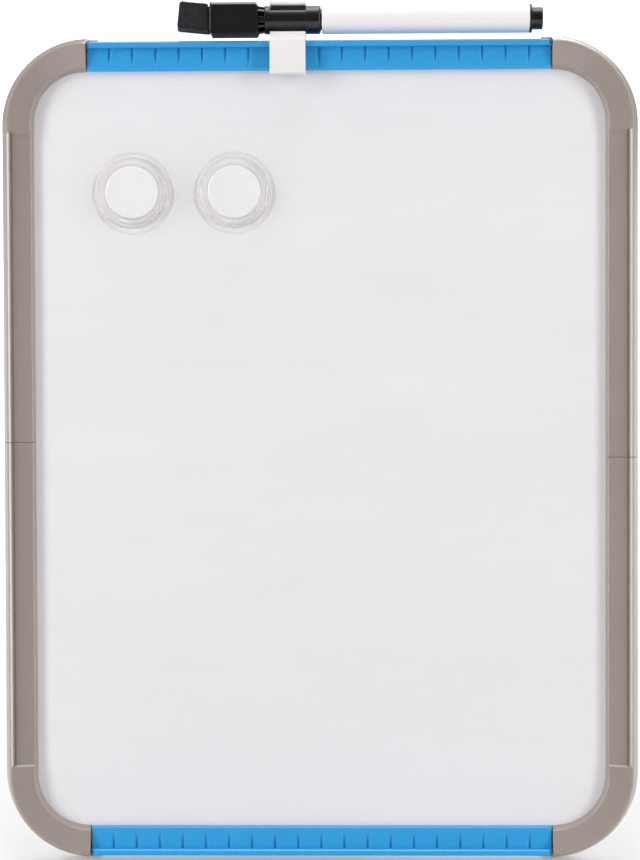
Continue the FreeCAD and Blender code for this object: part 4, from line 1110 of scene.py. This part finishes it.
def add_world():
    """Camera rays see white. Mirror rays see white too, but for a dark round in front of the board and a
    shaded sky behind it, darkest high up. Clear rays see the same dark round and a level that rises to
    white from right to left, and from diffuse surfaces a weak one, because the lamps' light goes straight
    through a clear piece. All the rest get a plain soft level."""
    world = bpy.data.worlds.new("studio")
    bpy.context.scene.world = world
    world.use_nodes = True
    rays = Rays(world.node_tree)
    camera, glossy, through = "Is Camera Ray", "Is Glossy Ray", "Is Transmission Ray"
    way = rays.add("TexCoord").outputs["Generated"]
    forwards = rays.along(way, FORWARD)
    aside = rays.ramp(forwards, DARK_EDGE, 1, 0)
    high = rays.ramp(rays.along(way, UP), HIGH_EDGE, 0, 1)
    behind = rays.ramp(forwards, BACK_EDGE, 1, 0)
    cover = rays.math("ADD", BACK_SHADE, rays.math("MULTIPLY", 1 - BACK_SHADE, high))
    sky = rays.math("SUBTRACT", 1, rays.math("MULTIPLY", cover, behind))
    mirror = rays.math("ADD", DARK_LEVEL, rays.math("MULTIPLY", 1 - DARK_LEVEL, aside, sky))
    leftward = rays.ramp(rays.along(way, (-1, 0, 0)), CLEAR_EDGE, CLEAR_RIGHT, 1.0)
    clear = rays.math("ADD", DARK_LEVEL, rays.math("MULTIPLY", leftward, aside))
    lit = rays.math("MINIMUM", rays.path["Diffuse Depth"], 1)
    loss = rays.math("MULTIPLY", lit, rays.math("SUBTRACT", clear, CLEAR_SOFT))
    clear = rays.math("SUBTRACT", clear, loss)
    rest = rays.math("SUBTRACT", 1, rays.any_of(camera, glossy, through))
    strength = rays.math("ADD", rays.math("MULTIPLY", mirror, rays.path[glossy]),
                         rays.math("MULTIPLY", clear, rays.path[through]), rays.path[camera],
                         rays.math("MULTIPLY", rest, SOFT_LEVEL))
    rays.feed(rays.tree.nodes["Background"], {"Color": WHITE, "Strength": strength})


def add_camera():
    """Camera of the photograph: it looks from its eye to its aim, rolled about that line."""
    eye, aim = Vector(stood(CAMERA_EYE)), Vector(stood(CAMERA_AIM))
    look = (aim - eye).normalized()
    side = look.cross(Vector(UP)).normalized()
    up = side.cross(look) * math.cos(CAMERA_ROLL) + side * math.sin(CAMERA_ROLL)
    data = bpy.data.cameras.new("photo_camera")
    data.sensor_width = SENSOR
    data.lens = FOCAL_PIXELS / PHOTO_HEIGHT * SENSOR
    camera = linked("photo_camera", data)
    place_at(camera, eye, look.cross(up), up, -look)
    bpy.context.scene.camera = camera


def main():
    add_camera()
    grey = moulded("warm_grey_plastic", srgb(158, 146, 139), 0.22, specular=0.8)
    blue = moulded("blue_plastic", srgb(50, 161, 223), 0.26, grain=1, swing=0.012)
    white = moulded("white_clip_plastic", srgb(237, 234, 233), 0.38)
    black = moulded("black_gloss_plastic", srgb(24, 24, 26), 0.16, grain=2)
    barrel = moulded("white_barrel_plastic", srgb(244, 240, 241), 0.14, grain=1, swing=0.01)
    stand = moulded("grey_stand_plastic", srgb(150, 139, 132), 0.45, edges=0.4)
    ink = patterned("inked_fibre", srgb(20, 20, 24), srgb(52, 52, 60), 50, 2500, 3, (0.05, 1, 1),
                    IOR=1.4, Roughness=0.6)
    coating = patterned("white_magnet_coating", srgb(240, 240, 240), srgb(247, 247, 246), 10, 600, 3,
                        IOR=1.5, Roughness=0.42)
    core = patterned("pressed_fibre_core", srgb(140, 112, 82), srgb(176, 146, 110), 50, 1100, 5, (1, 3, 1),
                     IOR=1.45, Roughness=0.85)
    clear = clear_finish()

    add_corners(grey)
    add_rails(blue)
    add_clip(white)
    add_cap(black, holder_finish())
    add_felt(felt_finish())
    add_pen(barrel, black, ink)
    for side in ("left", "right"):
        add_magnet(side, clear, coating)

    dress(enamel(), "writing_sheet")
    dress(core, "core_board")
    dress(liner_finish(), "back_liner")
    dress(stand, "stand_bracket", "stand_leg")
    dress(steel_finish(), "bracket_screws", "hinge_pin", "hinge_push_nut")
    dress(rubber_finish(), "foot_pad")
    dress(ink, "ink_reservoir")

    add_floor()
    add_world()
    for lamp in LAMPS:
        add_lamp(*lamp)
    bpy.context.scene.view_settings.view_transform = "Standard"


main()
